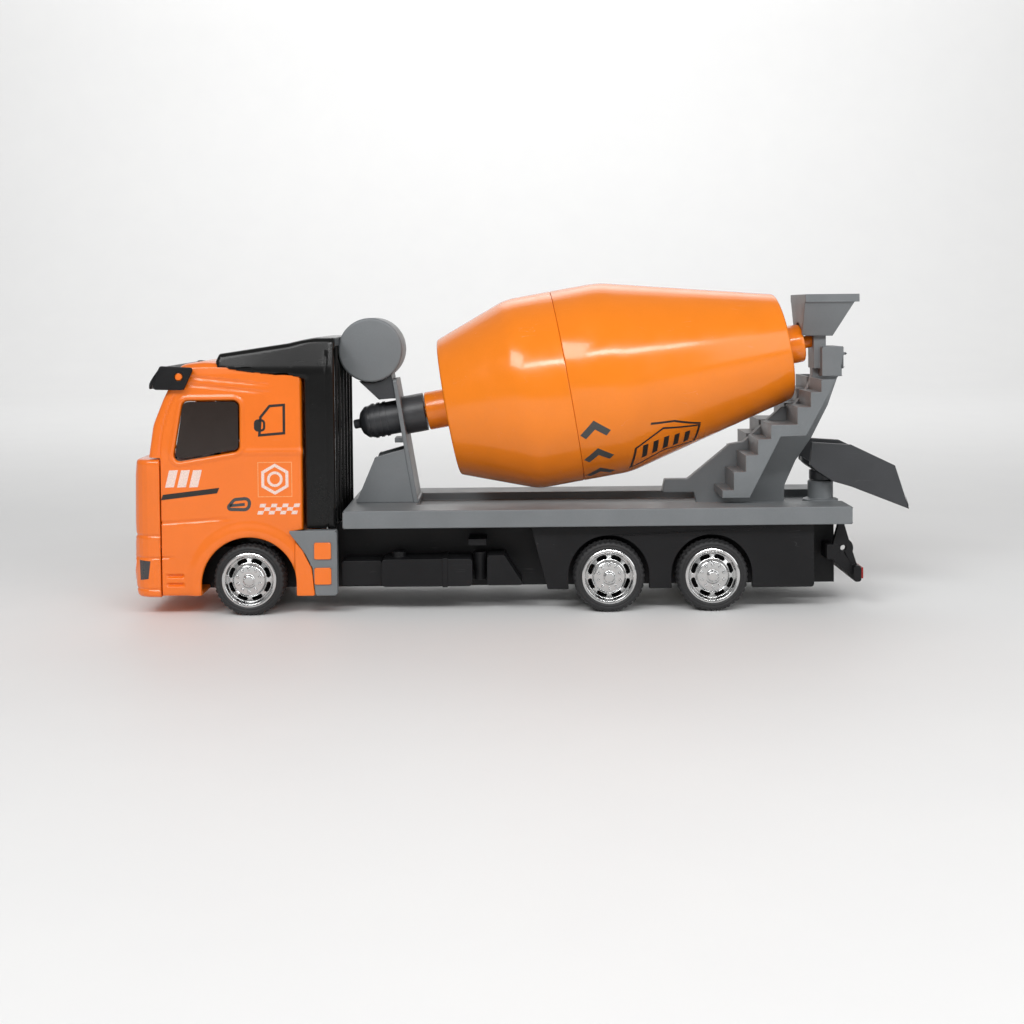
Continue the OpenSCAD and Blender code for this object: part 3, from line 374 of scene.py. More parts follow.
def scratches(nodes, links, place, size, stretch):
    """Sparse fine scratches, about size millimetres apart and drawn out along X."""
    mapping = nodes.new("ShaderNodeMapping")
    mapping.inputs["Rotation"].default_value = (0.2, 0.35, 0.5)
    mapping.inputs["Scale"].default_value = (1 / stretch, 1, 1)
    links.new(place, mapping.inputs["Vector"])
    lines = noise(nodes, links, mapping.outputs["Vector"], size, 1.0, 0.4, 0.6)
    distance = combine(nodes, links, "ABSOLUTE", combine(nodes, links, "SUBTRACT", lines, 0.5), 0.0)
    line = remap(nodes, links, distance, 0.0, 0.012, 1.0, 0.0)
    patches = remap(nodes, links, noise(nodes, links, place, size * 3), 0.55, 0.7, 0.0, 1.0)
    return combine(nodes, links, "MULTIPLY", line, patches)


def moulded(name, colour, roughness, grain=0.35, grain_depth=0.012, variation=0.1, scratch=0.4, smudge=0.04,
            **values):
    """Moulded plastic: slight clouding of its colour, fine grain, handling scratches and smudges."""
    material, nodes, links, principled, place = shader(name, colour, roughness, **values)
    clouds = noise(nodes, links, place, 14)
    specks = noise(nodes, links, place, 0.6, 2.0)
    share = combine(nodes, links, "ADD", combine(nodes, links, "MULTIPLY", clouds, 0.75),
                    combine(nodes, links, "MULTIPLY", specks, 0.25))
    spread = remap(nodes, links, share, 0.3, 0.7, 0.0, 1.0)
    body = tint(nodes, links, spread, shaded(colour, 1 - variation), shaded(colour, 1 + variation))
    marks = scratches(nodes, links, place, 2.2, 9)
    pale = nodes.new("ShaderNodeMix")
    pale.data_type = "RGBA"
    links.new(combine(nodes, links, "MULTIPLY", marks, 0.22 * scratch), pale.inputs["Factor"])
    links.new(body, pale.inputs["A"])
    pale.inputs["B"].default_value = (*(0.35 + 0.65 * c for c in colour), 1)
    links.new(pale.outputs["Result"], principled.inputs["Base Color"])
    smudges = remap(nodes, links, noise(nodes, links, place, 7.0, 3.0), 0.35, 0.7, -smudge, 1.5 * smudge)
    matt = combine(nodes, links, "ADD", smudges, combine(nodes, links, "MULTIPLY", marks, 0.25 * scratch))
    links.new(combine(nodes, links, "ADD", matt, roughness), principled.inputs["Roughness"])
    fine = noise(nodes, links, place, grain, 2.0)
    waves = noise(nodes, links, place, 6.0, 1.0)
    height = combine(nodes, links, "ADD", fine, combine(nodes, links, "MULTIPLY", waves, 1.6))
    cut = combine(nodes, links, "MULTIPLY", marks, -0.6 * scratch)
    relief(nodes, links, principled, combine(nodes, links, "ADD", height, cut), grain_depth)
    return material


def enamel(name, colour):
    """Glossy paint on die-cast metal: orange peel under a clear coat, with fine dust."""
    return moulded(name, colour, 0.32, grain=1.3, variation=0.04, scratch=0.25, smudge=0.02,
                   Coat_Weight=0.5, Coat_Roughness=0.06, Specular_IOR_Level=0.5)


def rubber(name):
    return moulded(name, (0.014, 0.014, 0.015), 0.55, grain=0.25, grain_depth=0.02, variation=0.25,
                   scratch=0.3)


def chrome(name):
    """Vacuum-plated plastic: bright, with a faint haze and tiny pits."""
    material, nodes, links, principled, place = shader(name, (0.8, 0.81, 0.82), 0.14, Metallic=1.0)
    haze = noise(nodes, links, place, 3.2, 4.0, 0.6)
    gloss = remap(nodes, links, haze, 0.3, 0.75, 0.09, 0.26)
    links.new(gloss, principled.inputs["Roughness"])
    colours = tint(nodes, links, haze, (0.55, 0.56, 0.57), (0.74, 0.74, 0.73))
    links.new(colours, principled.inputs["Base Color"])
    pits = noise(nodes, links, place, 0.3, 2.0)
    waves = noise(nodes, links, place, 2.4, 1.0)
    height = combine(nodes, links, "ADD", combine(nodes, links, "MULTIPLY", pits, 0.3), waves)
    relief(nodes, links, principled, height, 0.014)
    return material


def steel(name):
    """Plated steel with fine drawn lines."""
    material, nodes, links, principled, place = shader(name, (0.5, 0.5, 0.5), 0.3, Metallic=1.0)
    mapping = nodes.new("ShaderNodeMapping")
    mapping.inputs["Scale"].default_value = (1, 0.06, 1)
    links.new(place, mapping.inputs["Vector"])
    lines = noise(nodes, links, mapping.outputs["Vector"], 0.25, 3.0)
    gloss = remap(nodes, links, lines, 0.3, 0.7, 0.2, 0.42)
    links.new(gloss, principled.inputs["Roughness"])
    colours = tint(nodes, links, lines, (0.4, 0.4, 0.41), (0.6, 0.6, 0.59))
    links.new(colours, principled.inputs["Base Color"])
    relief(nodes, links, principled, lines, 0.008)
    return material


def clear(name, colour, roughness, weight, ior=1.46):
    """Clear or smoked moulding, with faint flow lines and smudges."""
    material, nodes, links, principled, place = shader(
        name, colour, roughness, Transmission_Weight=weight, IOR=ior)
    smears = noise(nodes, links, place, 5.0, 3.0, 0.6, 1.0)
    gloss = remap(nodes, links, smears, 0.35, 0.75, roughness, roughness + 0.12)
    links.new(gloss, principled.inputs["Roughness"])
    colours = tint(nodes, links, smears, shaded(colour, 0.92), shaded(colour, 1.05))
    links.new(colours, principled.inputs["Base Color"])
    relief(nodes, links, principled, noise(nodes, links, place, 3.5, 1.0), 0.01)
    return material


def ink(name, colour):
    """Pad-printed ink, a little thin and broken at small scale."""
    material, nodes, links, principled, place = shader(name, colour, 0.4)
    speckle = noise(nodes, links, place, 0.35, 3.0, 0.7)
    share = remap(nodes, links, speckle, 0.35, 0.65, 0.0, 1.0)
    colours = tint(nodes, links, share, shaded(colour, 0.8), shaded(colour, 1.15))
    links.new(colours, principled.inputs["Base Color"])
    gloss = remap(nodes, links, speckle, 0.3, 0.7, 0.32, 0.5)
    links.new(gloss, principled.inputs["Roughness"])
    relief(nodes, links, principled, speckle, 0.01)
    return material


ORANGE_PAINT = (0.88, 0.175, 0.005)
ORANGE_PLASTIC = (0.9, 0.225, 0.006)
GREY = (0.17, 0.182, 0.19)
DARK_GREY = (0.042, 0.044, 0.048)

paint = enamel("orange_enamel", ORANGE_PAINT)
drum_plastic = moulded("orange_plastic", ORANGE_PLASTIC, 0.2, grain=0.8, grain_depth=0.006, variation=0.04,
                       Coat_Weight=0.25, Coat_Roughness=0.05)
grey_plastic = moulded("grey_plastic", GREY, 0.42, grain_depth=0.014, variation=0.08)
dark_plastic = moulded("dark_grey_plastic", DARK_GREY, 0.38, grain_depth=0.014, variation=0.12)
black_gloss = moulded("black_gloss", (0.006, 0.006, 0.006), 0.22, grain=0.9, grain_depth=0.002,
                      variation=0.2, scratch=0.2, smudge=0.01, Specular_IOR_Level=0.2,
                      Coat_Weight=0.1, Coat_Roughness=0.08)
black_matte = moulded("black_matte", (0.009, 0.009, 0.01), 0.45, grain_depth=0.02, variation=0.2,
                      Specular_IOR_Level=0.25)
white_plastic = moulded("white_nylon", (0.7, 0.69, 0.64), 0.42, variation=0.04)
tyre_rubber = rubber("tyre_rubber")
rim_chrome = chrome("rim_chrome")
axle_steel = steel("axle_steel")
clear_screen = clear("clear_screen", (0.97, 0.98, 0.98), 0.01, 1.0, 1.15)
dark_glass = clear("dark_glass", (0.03, 0.017, 0.012), 0.05, 0.35)
smoke_lens = clear("smoke_lens", (0.09, 0.09, 0.095), 0.1, 0.4)
red_lens = clear("red_lens", (0.5, 0.015, 0.01), 0.12, 0.3)
grey_ink = ink("grey_ink", (0.06, 0.064, 0.064))
black_ink = ink("black_ink", (0.02, 0.018, 0.016))
white_ink = ink("white_ink", (0.86, 0.66, 0.58))
pale_ink = ink("pale_orange_ink", (0.95, 0.36, 0.12))

SLOT_MATERIALS = {
    "orange_metal": paint, "orange_plastic": drum_plastic, "grey_plastic": grey_plastic,
    "dark_grey_plastic": dark_plastic, "black_gloss": black_gloss, "black_matte": black_matte,
    "chrome_rim": rim_chrome, "tyre": tyre_rubber, "clear_screen": clear_screen,
    "dark_glass": dark_glass, "smoke_lens": smoke_lens, "red_lens": red_lens,
    "white_plastic": white_plastic, "steel": axle_steel,
}

# ------------------------------------------------------------------ cab


CAB_SIDE = rounded([
    (fascia_back - 6, cab_bottom, 0),
    (fascia_back - 6, fascia_top + 0.1, 0),
    (pillar_x, fascia_top + 0.1, 0),
    (pillar_x + 1.6, 59.5, 12),
    (pillar_x + 4.8, 67.5, 8),
    (pillar_x + 10, cab_top - 1, 3),
    (pillar_x + 17, cab_top + 0.2, 8),
    (cab_back - 8, cab_top - 1, 10),
    (cab_back, cab_top - 4, 2),
    (cab_back, cab_bottom, 0),
])
CAB_PLAN = rounded([
    (front_x, -9, 20),
    (front_x + 1.4, -cab_half_w, 7),
    (cab_back, -cab_half_w, 1.5),
    (cab_back, cab_half_w, 1.5),
    (front_x + 1.4, cab_half_w, 7),
    (front_x, 9, 20),
], 6)
CAB_FRONT = rounded([
    (-cab_half_w, cab_bottom - 2, 0),
    (-cab_half_w, 52, 20),
    (-cab_half_w + 1.6, cab_top + 1.2, 5.5),
    (cab_half_w - 1.6, cab_top + 1.2, 5.5),
    (cab_half_w, 52, 20),
    (cab_half_w, cab_bottom - 2, 0),
])
SIDE_WINDOW = rounded([
    (front_x + 14.1, 47.8, 1.8),
    (front_x + 34.7, 51.2, 1.8),
    (front_x + 34.7, 66.7, 1.8),
    (front_x + 17.5, 66.7, 1.8),
])
SCREEN_OPENING = rounded(box_outline(-cab_half_w + 4.2, cab_half_w - 4.2, 50.4, 67.2, 2))
CAST_WALL = 1.5
ARCH_Z = 9.6
ARCH_R = 14.7
VISOR_PEG = (front_x + 16.6, 74.3)
# The part of the wheel flare that reaches behind the cab's back wall
FLARE_TAIL = rounded([
    (cab_back - 3, cab_bottom, 0),
    (cab_back + 3.1, cab_bottom, 0.6),
    (cab_back + 2.2, 14.8, 3),
    (cab_back - 0.5, 20.1, 3),
    (cab_back - 3, 23.3, 0),
])


def arch_distance(x, z):
    """Signed distance to the wheel arch: a round top over straight sides."""
    dx = np.abs(x - axle_x[0])
    dz = np.maximum(z - ARCH_Z, 0)
    return np.sqrt(dx * dx + dz * dz) - ARCH_R


def cab_outside(x, y, z):
    """The cab's outer form with its raised and sunk mouldings."""
    side = outline_distance(x, z, CAB_SIDE)
    plan = outline_distance(x, y, CAB_PLAN)
    front = outline_distance(y, z, CAB_FRONT)
    form = smooth_max(smooth_max(side, front, 2.2), plan, 2.5)
    flank = np.clip((np.abs(y) - cab_half_w + 5) / 3, 0, 1)
    arch = arch_distance(x, z)
    flare = bump(arch - 1.9, 3.4) * np.clip((z - cab_bottom + 4) / 6, 0, 1)
    window = outline_distance(x, z, SIDE_WINDOW)
    rim = bump(window - 1.0, 1.1)
    # Steps of the roof rail above the door, fading out behind the window
    fade = np.clip((front_x + 46 - x) / 12, 0, 1)
    slope = 0.11 * (x - front_x - 30)
    rail = sum(bump(z + slope - height, 0.75) for height in (73.0, 70.6)) * fade
    # Waist crease behind the window and the low crease ahead of the wheel
    waist = bump(z - 50.8, 1.6) * np.clip((x - front_x - 33) / 4, 0, 1)
    low = bump(z - 29 - 0.06 * (x - fascia_back), 0.8) * np.clip((front_x + 33 - x) / 6, 0, 1)
    low += bump(z - 18.3, 0.6) * np.clip((front_x + 15 - x) / 3, 0, 1)
    # The seam between side and pillar carries on above the fascia
    above = z - fascia_top
    pillar = bump(x - fascia_back - 0.012 * above ** 2, 0.55)
    pillar *= np.clip(above, 0, 1) * np.clip(20 - above, 0, 1)
    vents = sum(
        bump(z - height, 0.75) * np.clip(3 - np.abs(x - fascia_back - 4.3), 0, 1) for height in (12.6, 9.9))
    raised = 0.62 * flare + 0.34 * rim + 0.3 * waist
    sunk = 0.3 * rail + 0.28 * low + 0.3 * pillar + 0.9 * vents
    tail = np.maximum(outline_distance(x, z, FLARE_TAIL), np.abs(np.abs(y) - 25.9) - 1.1)
    return smooth_min(form - (raised - sunk) * flank, tail, 0.6)


def cab_field(x, y, z):
    outside = cab_outside(x, y, z)
    shell = smooth_max(outside, -(outside + CAST_WALL), 0.5)
    cuts = smooth_min(outline_distance(x, z, SIDE_WINDOW), arch_distance(x, z), 0.1)
    shell = smooth_max(shell, -cuts, 0.7)
    screen = np.maximum(outline_distance(y, z, SCREEN_OPENING), x - pillar_x - 9)
    shell = smooth_max(shell, -screen, 0.7)
    shell = smooth_max(shell, cab_bottom + 0.2 - z, 0.5)
    shell = np.maximum(shell, fascia_back + 0.12 - x - np.where(z > fascia_top + 0.1, 20, 0))
    chassis_gap = box_distance(x, y, z, (cab_back - 4, -13.4, 0), (cab_back + 2, 13.4, 24))
    shell = smooth_max(shell, -chassis_gap, 0.4)
    # The pegs that the sun visor snaps over
    peg = np.maximum(np.hypot(x - VISOR_PEG[0], z - VISOR_PEG[1]) - 1.2, np.abs(np.abs(y) - 25.5) - 1.6)
    return smooth_min(shell, peg, 0.2)


def make_cab():
    low = (front_x - 0.3, -cab_half_w - 1.2, cab_bottom - 0.6)
    high = (cab_high.x + 0.6, cab_half_w + 1.2, cab_top + 0.8)
    field_piece("cab_casting", cab_field, low, high, 0.5, "orange_metal", "cab_shell")


FASCIA_SIDE = rounded([
    (fascia_back + 4, cab_bottom, 0),
    (front_x + 1.6, cab_bottom, 2),
    (front_x + 0.2, 11, 6),
    (front_x, 22.5, 3),
    (front_x + 1, 25.5, 0.8),
    (front_x + 0.5, 29, 3),
    (front_x + 1.1, 44, 8),
    (front_x + 2, fascia_top, 1.2),
    (fascia_back + 4, fascia_top, 0),
])
HEADLIGHT = rounded([(-23.4, 17.6, 0.8), (-19.4, 11, 0.8), (-14.6, 12.4, 0.8), (-15, 17.6, 0.8)])
GRILLE = rounded(box_outline(-14.5, 14.5, 28.5, 46.5, 1.5))
INTAKE = rounded(box_outline(-11, 11, 11.5, 16.5, 1.2))


def fascia_holes(y, z):
    holes = np.minimum(outline_distance(-np.abs(y), z, HEADLIGHT), outline_distance(y, z, GRILLE))
    return np.minimum(holes, outline_distance(y, z, INTAKE))


def fascia_outside(x, y, z):
    side = outline_distance(x, z, FASCIA_SIDE)
    plan = outline_distance(x, y, CAB_PLAN)
    form = smooth_max(side, plan, 1.6)
    lips = bump(fascia_holes(y, z) - 0.7, 0.9)
    # Level creases that carry the bumper's lines round the corners
    creases = bump(z - 25.2, 0.7) + bump(z - 18.3, 0.6) + bump(z - 8.6, 0.6)
    return form - 0.25 * lips + 0.28 * np.clip(creases, 0, 1)


def fascia_field(x, y, z):
    form = fascia_outside(x, y, z)
    shell = smooth_max(form, -(form + CAST_WALL), 0.5)
    shell = smooth_max(shell, -fascia_holes(y, z), 0.6)
    return np.maximum(shell, x - fascia_back + 0.1)


def make_fascia():
    low = (front_x - 0.6, -cab_half_w - 0.8, cab_bottom - 0.6)
    high = (fascia_back + 0.5, cab_half_w + 0.8, fascia_top + 0.7)
    field_piece("cab_front_casting", fascia_field, low, high, 0.45, "orange_metal", "front_fascia")


def screen_field(x, y, z):
    """The windscreen follows the cab's outer form, a little way inside it."""
    pane = np.abs(cab_outside(x, y, z) + 1.0) - 0.45
    opening = np.maximum(outline_distance(y, z, SCREEN_OPENING) + 0.3, x - pillar_x - 9)
    return smooth_max(pane, opening, 0.3)


def make_screen():
    low = (front_x, -cab_half_w, 49)
    high = (pillar_x + 10, cab_half_w, 69)
    field_piece("cab_screen", screen_field, low, high, 0.4, "clear_screen", "windscreen")


VISOR_SIDE = rounded([
    (front_x + 10.8, 77.7, 0.8),
    (front_x + 21.3, 77.1, 0.8),
    (front_x + 18.1, 70.2, 1),
    (front_x + 8.2, 70.4, 1),
])
VISOR_PEAK = rounded([
    (front_x + 10.9, 77.5, 0.4),
    (front_x + 12.4, 76.6, 0.3),
    (front_x + 7.3, 70.4, 0.3),
    (front_x + 5.9, 70.8, 0.4),
])
VISOR_PLAN = rounded([
    (front_x + 5.2, -10, 14),
    (front_x + 7, -cab_half_w, 3),
    (cab_back, -cab_half_w, 1),
    (cab_back, cab_half_w, 1),
    (front_x + 7, cab_half_w, 3),
    (front_x + 5.2, 10, 14),
])


def visor_field(x, y, z):
    """Two side plates on the cab's pegs, joined by a peak above the screen."""
    plates = smooth_max(outline_distance(x, z, VISOR_SIDE), np.abs(np.abs(y) - cab_half_w) - 0.6, 0.3)
    plates = smooth_max(plates, 1.3 - np.hypot(x - VISOR_PEG[0], z - VISOR_PEG[1]), 0.2)
    peak = smooth_max(outline_distance(x, z, VISOR_PEAK), outline_distance(x, y, VISOR_PLAN), 0.3)
    return smooth_min(plates, peak, 0.4)


def make_visor():
    low = (front_x + 4, -cab_half_w - 1.2, 69)
    high = (front_x + 23, cab_half_w + 1.2, 79)
    field_piece("cab_visor", visor_field, low, high, 0.35, "black_matte", "sun_visor")


# ------------------------------------------------------------------ roof fairing

fairing_low, fairing_high = node_box("rear_fairing")
tank_low, tank_high = node_box("water_tank")
# The tank sits a touch behind and above its CAD node
TANK_SHIFT = Vector((0.5, 0, 0.3))
tank_centre = (tank_low + tank_high) / 2 + TANK_SHIFT
TANK_R = (tank_high.x - tank_low.x) / 2
FAIRING_HALF_W = cab_half_w - 1
FAIRING_SIDE = rounded([
    (front_x + 27.4, cab_top + 0.1, 0),
    (front_x + 28.4, 81.2, 0.8),
    (front_x + 49.9, 84.3, 10),
    (front_x + 58.1, 86.4, 2),
    (fairing_high.x, 86.4, 0.5),
    (fairing_high.x, fairing_low.z, 0),
    (cab_back + 0.1, fairing_low.z, 0),
    (cab_back + 0.1, cab_top - 6, 0),
    (front_x + 27.4, cab_top - 3, 0),
], 12)
FAIRING_FRONT = rounded([
    (-FAIRING_HALF_W, 20, 0),
    (-FAIRING_HALF_W, 76, 10),
    (-FAIRING_HALF_W + 3, 86.4, 3),
    (FAIRING_HALF_W - 3, 86.4, 3),
    (FAIRING_HALF_W, 76, 10),
    (FAIRING_HALF_W, 20, 0),
], 12)
FAIRING_RECESS = rounded(box_outline(-FAIRING_HALF_W + 2.4, FAIRING_HALF_W - 2.4, 20, 83, 2))


def fairing_field(x, y, z):
    side = outline_distance(x, z, FAIRING_SIDE)
    front = outline_distance(y, z, FAIRING_FRONT)
    form = smooth_max(side, front, 1.8)
    # A groove down the flank sets off the rear flange
    groove = bump(x - fairing_high.x + 2.6, 0.7) * np.clip((82 - z) / 2, 0, 1)
    form = form + 0.35 * groove * np.clip((np.abs(y) - FAIRING_HALF_W + 4) / 2, 0, 1)
    # The deflector's lower edge follows the cab's roof
    form = np.maximum(form, 0.12 - cab_outside(x, y, z))
    # The back is hollow between upright ribs
    ribs = 0.6 - np.abs((y + 4) % 8 - 4)
    recess = np.maximum(outline_distance(y, z, FAIRING_RECESS), fairing_high.x - 2.4 - x)
    recess = smooth_max(recess, ribs, 0.3)
    tank_distance = np.hypot(x - tank_centre.x, z - tank_centre.z) - TANK_R
    tank = np.maximum(tank_distance - 0.4, np.abs(y) - tank_high.y - 0.5)
    return smooth_max(form, -smooth_min(recess, tank, 0.3), 0.5)


def make_fairing():
    low = tuple(fairing_low - Vector((0.7, 0.7, 0.7)))
    high = tuple(fairing_high + Vector((0.7, 0.7, 0.7)))
    field_piece("roof_fairing", fairing_field, low, high, 0.5, "black_gloss", "rear_fairing")


# ------------------------------------------------------------------ prints


def ribbon(points, width, closed=False, step=0.7):
    """Quads of a mitred line through 2D points, in lengths short enough to follow a curved surface."""
    points = [Vector(p) for p in points]
    count = len(points)
    edges = []
    for i, here in enumerate(points):
        before = (here - points[i - 1]).normalized() if closed or i > 0 else None
        after = (points[(i + 1) % count] - here).normalized() if closed or i < count - 1 else None
        along = ((before or after) + (after or before)).normalized()
        across = Vector((-along.y, along.x))
        stretch = 1 / max(0.4, across.dot(Vector((-(after or before).y, (after or before).x))))
        edges.append((here + across * width / 2 * stretch, here - across * width / 2 * stretch))
    quads = []
    pairs = list(zip(edges, edges[1:] + edges[:1])) if closed else list(zip(edges, edges[1:]))
    for (left, right), (next_left, next_right) in pairs:
        parts = max(1, math.ceil((next_left - left).length / step))
        for k in range(parts):
            a, b = k / parts, (k + 1) / parts
            quads.append((left.lerp(next_left, a), left.lerp(next_left, b),
                          right.lerp(next_right, b), right.lerp(next_right, a)))
    return quads


def patch(corners, step=0.7):
    """Quads that fill a four-sided patch."""
    a, b, c, d = [Vector(p) for p in corners]
    across = max(1, math.ceil(max((b - a).length, (c - d).length) / step))
    up = max(1, math.ceil(max((d - a).length, (c - b).length) / step))

    def at(i, j):
        return a.lerp(b, i / across).lerp(d.lerp(c, i / across), j / up)

    return [(at(i, j), at(i + 1, j), at(i + 1, j + 1), at(i, j + 1))
            for i in range(across) for j in range(up)]


def print_piece(name, quads, lift, body, material):
    """A thin solid film over a surface. lift(u, v, height) gives the point that far above the surface."""
    number, flat = {}, []
    faces = []
    for quad in quads:
        face = []
        for p in quad:
            key = (round(p.x, 4), round(p.y, 4))
            if key not in number:
                number[key] = len(flat)
                flat.append(key)
            face.append(number[key])
        if len(set(face)) == 4:
            faces.append(face)
    count = len(flat)
    uv = np.array(flat)
    vertices = np.concatenate([lift(uv[:, 0], uv[:, 1], 0.05), lift(uv[:, 0], uv[:, 1], -0.03)])
    used = {}
    for face in faces:
        for a, b in zip(face, face[1:] + face[:1]):
            used[(a, b)] = used.get((a, b), 0) + 1
    walls = [[a, b, b + count, a + count][::-1] for a, b in used if (b, a) not in used]
    under = [[c + count for c in face][::-1] for face in faces]
    piece = add_object(name, vertices, faces + under + walls, body, [material], smooth=False)
    face_outwards(piece)


def flank_lift(outside, side):
    """Places (x, z) on a form's left or right flank: side is -1 on the left and 1 on the right."""

    def lift(x, z, height):
        outer = np.full(len(x), cab_half_w + 1.5)
        inner = np.full(len(x), cab_half_w - 4.0)
        for _ in range(24):
            middle = (outer + inner) / 2
            clear_of_it = outside(x, middle, z) > 0
            outer = np.where(clear_of_it, middle, outer)
            inner = np.where(clear_of_it, inner, middle)
        return np.stack([x, side * (outer + height), z], 1)

    return lift


def circle(x, z, radius, count, first=0.0):
    angles = [first + 2 * math.pi * k / count for k in range(count)]
    return [(x + radius * math.cos(a), z + radius * math.sin(a)) for a in angles]


def make_cab_prints():
    x = front_x
    door_frame = [(x + 41.0, 56.0), (x + 48.6, 56.6), (x + 48.6, 65.3), (x + 44.2, 65.0), (x + 41.4, 61.6)]
    mirror = rounded(box_outline(x + 39.7, x + 42.5, 57.5, 60.6, 0.9))
    handle = rounded([
        (x + 30.4, 33.2, 0.7),
        (x + 37.3, 33.0, 1.6),
        (x + 38.0, 36.6, 1.4),
        (x + 33.0, 36.2, 1.4),
    ])
    hexagon = circle(x + 45.6, 42.4, 4.3, 6, math.pi / 6)
    hole = circle(x + 45.6, 42.4, 2.0, 20)
    frame_line = [(x + 40.4, 37.0), (x + 50.8, 37.0), (x + 50.8, 47.6), (x + 40.4, 47.6)]
    checks = []
    for i in range(7):
        for j in range(3):
            if (i + j) % 2 == 0:
                left, low = x + 40.0 + 1.75 * i + 0.35 * j, 31.5 + 1.1 * j
                checks += patch([(left, low), (left + 1.75, low), (left + 2.1, low + 1.1),
                                 (left + 0.35, low + 1.1)])
    bars = []
    for i in range(3):
        left = x + 11.7 + 3.7 * i
        bars += patch([(left, 40.1), (left + 2.7, 40.2), (left + 4.0, 45.5), (left + 1.3, 45.4)])
    stripe = patch([(x + 10.3, 36.2), (x + 27.7, 38.2), (x + 28.4, 39.9), (x + 11.0, 37.9)])
    mirror_half = patch([(x + 39.9, 57.9), (x + 41.0, 57.7), (x + 41.0, 60.4), (x + 39.9, 60.2)])
    door = ribbon(door_frame, 0.8, True) + ribbon(mirror, 0.7, True) + mirror_half
    grip = ribbon(handle, 1.0, True) + ribbon([(x + 31.6, 34.3), (x + 36.2, 34.7)], 0.9)
    lens = patch([(x + 3.4, 11.4), (x + 6.2, 11.9), (x + 6.9, 17.4), (x + 3.2, 17.6)])
    for side, word in ((-1, "left"), (1, "right")):
        lift = flank_lift(cab_outside, side)
        prints = {
            "door_outline": (door, black_ink),
            "handle_print": (grip, grey_ink),
            "hexagon_print": (ribbon(hexagon, 0.9, True) + ribbon(hole, 0.8, True), white_ink),
            "hexagon_frame": (ribbon(frame_line, 0.25, True), pale_ink),
            "check_strip": (checks, white_ink),
            "door_bars": (bars, white_ink),
            "door_stripe": (stripe, black_ink),
        }
        for name, (quads, material) in prints.items():
            print_piece(f"{name}_{word}", quads, lift, "chassis", material)
        corner = flank_lift(fascia_outside, side)
        print_piece(f"corner_lens_{word}", lens, corner, "chassis", smoke_lens)


# ------------------------------------------------------------------ drum

DRUM_FRONT = 4.6
DRUM_SEAM = 43.6
DRUM_END = 115.0
BELLY_R = 31.25
DRUM_WALL = 1.4
# The rounded edge of each half at the seam, as (distance from the seam, drop)
SEAM_EDGE = ((0.35, 0), (0.12, 0.1), (0.03, 0.28))
NECK_R = 6.2
TRUNNION_R = 2.0
drum_place = Matrix.Translation(drum_hub) @ Matrix.Rotation(math.pi / 2 - drum_tilt, 4, "Y")


# Outer line of the drum's shell: a cone, a short belly and a longer cone, as (along, radius, corner radius)
DRUM_SHELL = rounded([
    (DRUM_FRONT, NECK_R + 1.6, 0),
    (DRUM_FRONT, 22.2, 1.1),
    (28.9, BELLY_R, 16),
    (59.2, BELLY_R, 26),
    (DRUM_END, 17.3, 1.2),
    (DRUM_END, 15.6, 0),
], 8)


def drum_radius(along):
    """Outer radius of the drum's shell at a distance along its axis."""
    return np.interp(along, [p[0] for p in DRUM_SHELL], [p[1] for p in DRUM_SHELL])


def drum_front_profile():
    skin = [(s, r) for s, r in DRUM_SHELL if s < DRUM_SEAM]
    seam = [(DRUM_SEAM - gap, BELLY_R - drop) for gap, drop in SEAM_EDGE]
    inner = [(s + 0.4, r - DRUM_WALL) for s, r in reversed(skin[11:])]
    neck = [(-9.4, 0), (-9.4, TRUNNION_R), (-2.6, TRUNNION_R), (-2.6, NECK_R - 0.4), (-2.45, NECK_R - 0.12),
            (-2.2, NECK_R), (3.4, NECK_R), (3.9, NECK_R + 0.15), (4.3, NECK_R + 0.5), (4.5, NECK_R + 1.0)]
    return neck + skin + seam + [(DRUM_SEAM - 0.03, BELLY_R - DRUM_WALL)] + inner + [(6.0, 19.0), (6.0, 0)]


def drum_rear_profile():
    seam = [(DRUM_SEAM + 0.03, BELLY_R - DRUM_WALL)]
    seam += [(DRUM_SEAM + gap, BELLY_R - drop) for gap, drop in reversed(SEAM_EDGE)]
    skin = [(s, r) for s, r in DRUM_SHELL if s > DRUM_SEAM]
    face = [(DRUM_END, 15.4), (DRUM_END - 0.5, 14.9), (DRUM_END - 0.5, 8.0), (DRUM_END - 0.2, NECK_R + 0.5),
            (DRUM_END + 0.3, NECK_R)]
    neck = [(120.8, NECK_R), (121.35, NECK_R - 0.25), (121.6, NECK_R - 0.8), (121.6, TRUNNION_R),
            (126.6, TRUNNION_R), (126.6, 0)]
    inner = [(s - 0.4, r - DRUM_WALL) for s, r in reversed(skin[:9])]
    return seam + skin + face + neck + [(DRUM_END - 2, 0), (DRUM_END - 2, 15.0)] + inner


def make_drum():
    for name, profile in (("drum_front", drum_front_profile()), ("drum_rear", drum_rear_profile())):
        turned_piece(name, profile, drum_place, 192, "drum", "orange_plastic", f"{name}_half", 30)


def drum_lift(start):
    """Places (along, arc length) on the drum. The arc runs down from the angle start, on the side at -Y."""

    def lift(along, around, height):
        angle = math.radians(start) + around / BELLY_R
        radius = drum_radius(along) + height
        out = -radius * np.cos(angle)
        up = -radius * np.sin(angle)
        x = drum_hub.x + along * math.cos(drum_tilt) - up * math.sin(drum_tilt)
        z = drum_hub.z + along * math.sin(drum_tilt) + up * math.cos(drum_tilt)
        return np.stack([x, out, z], 1)

    return lift


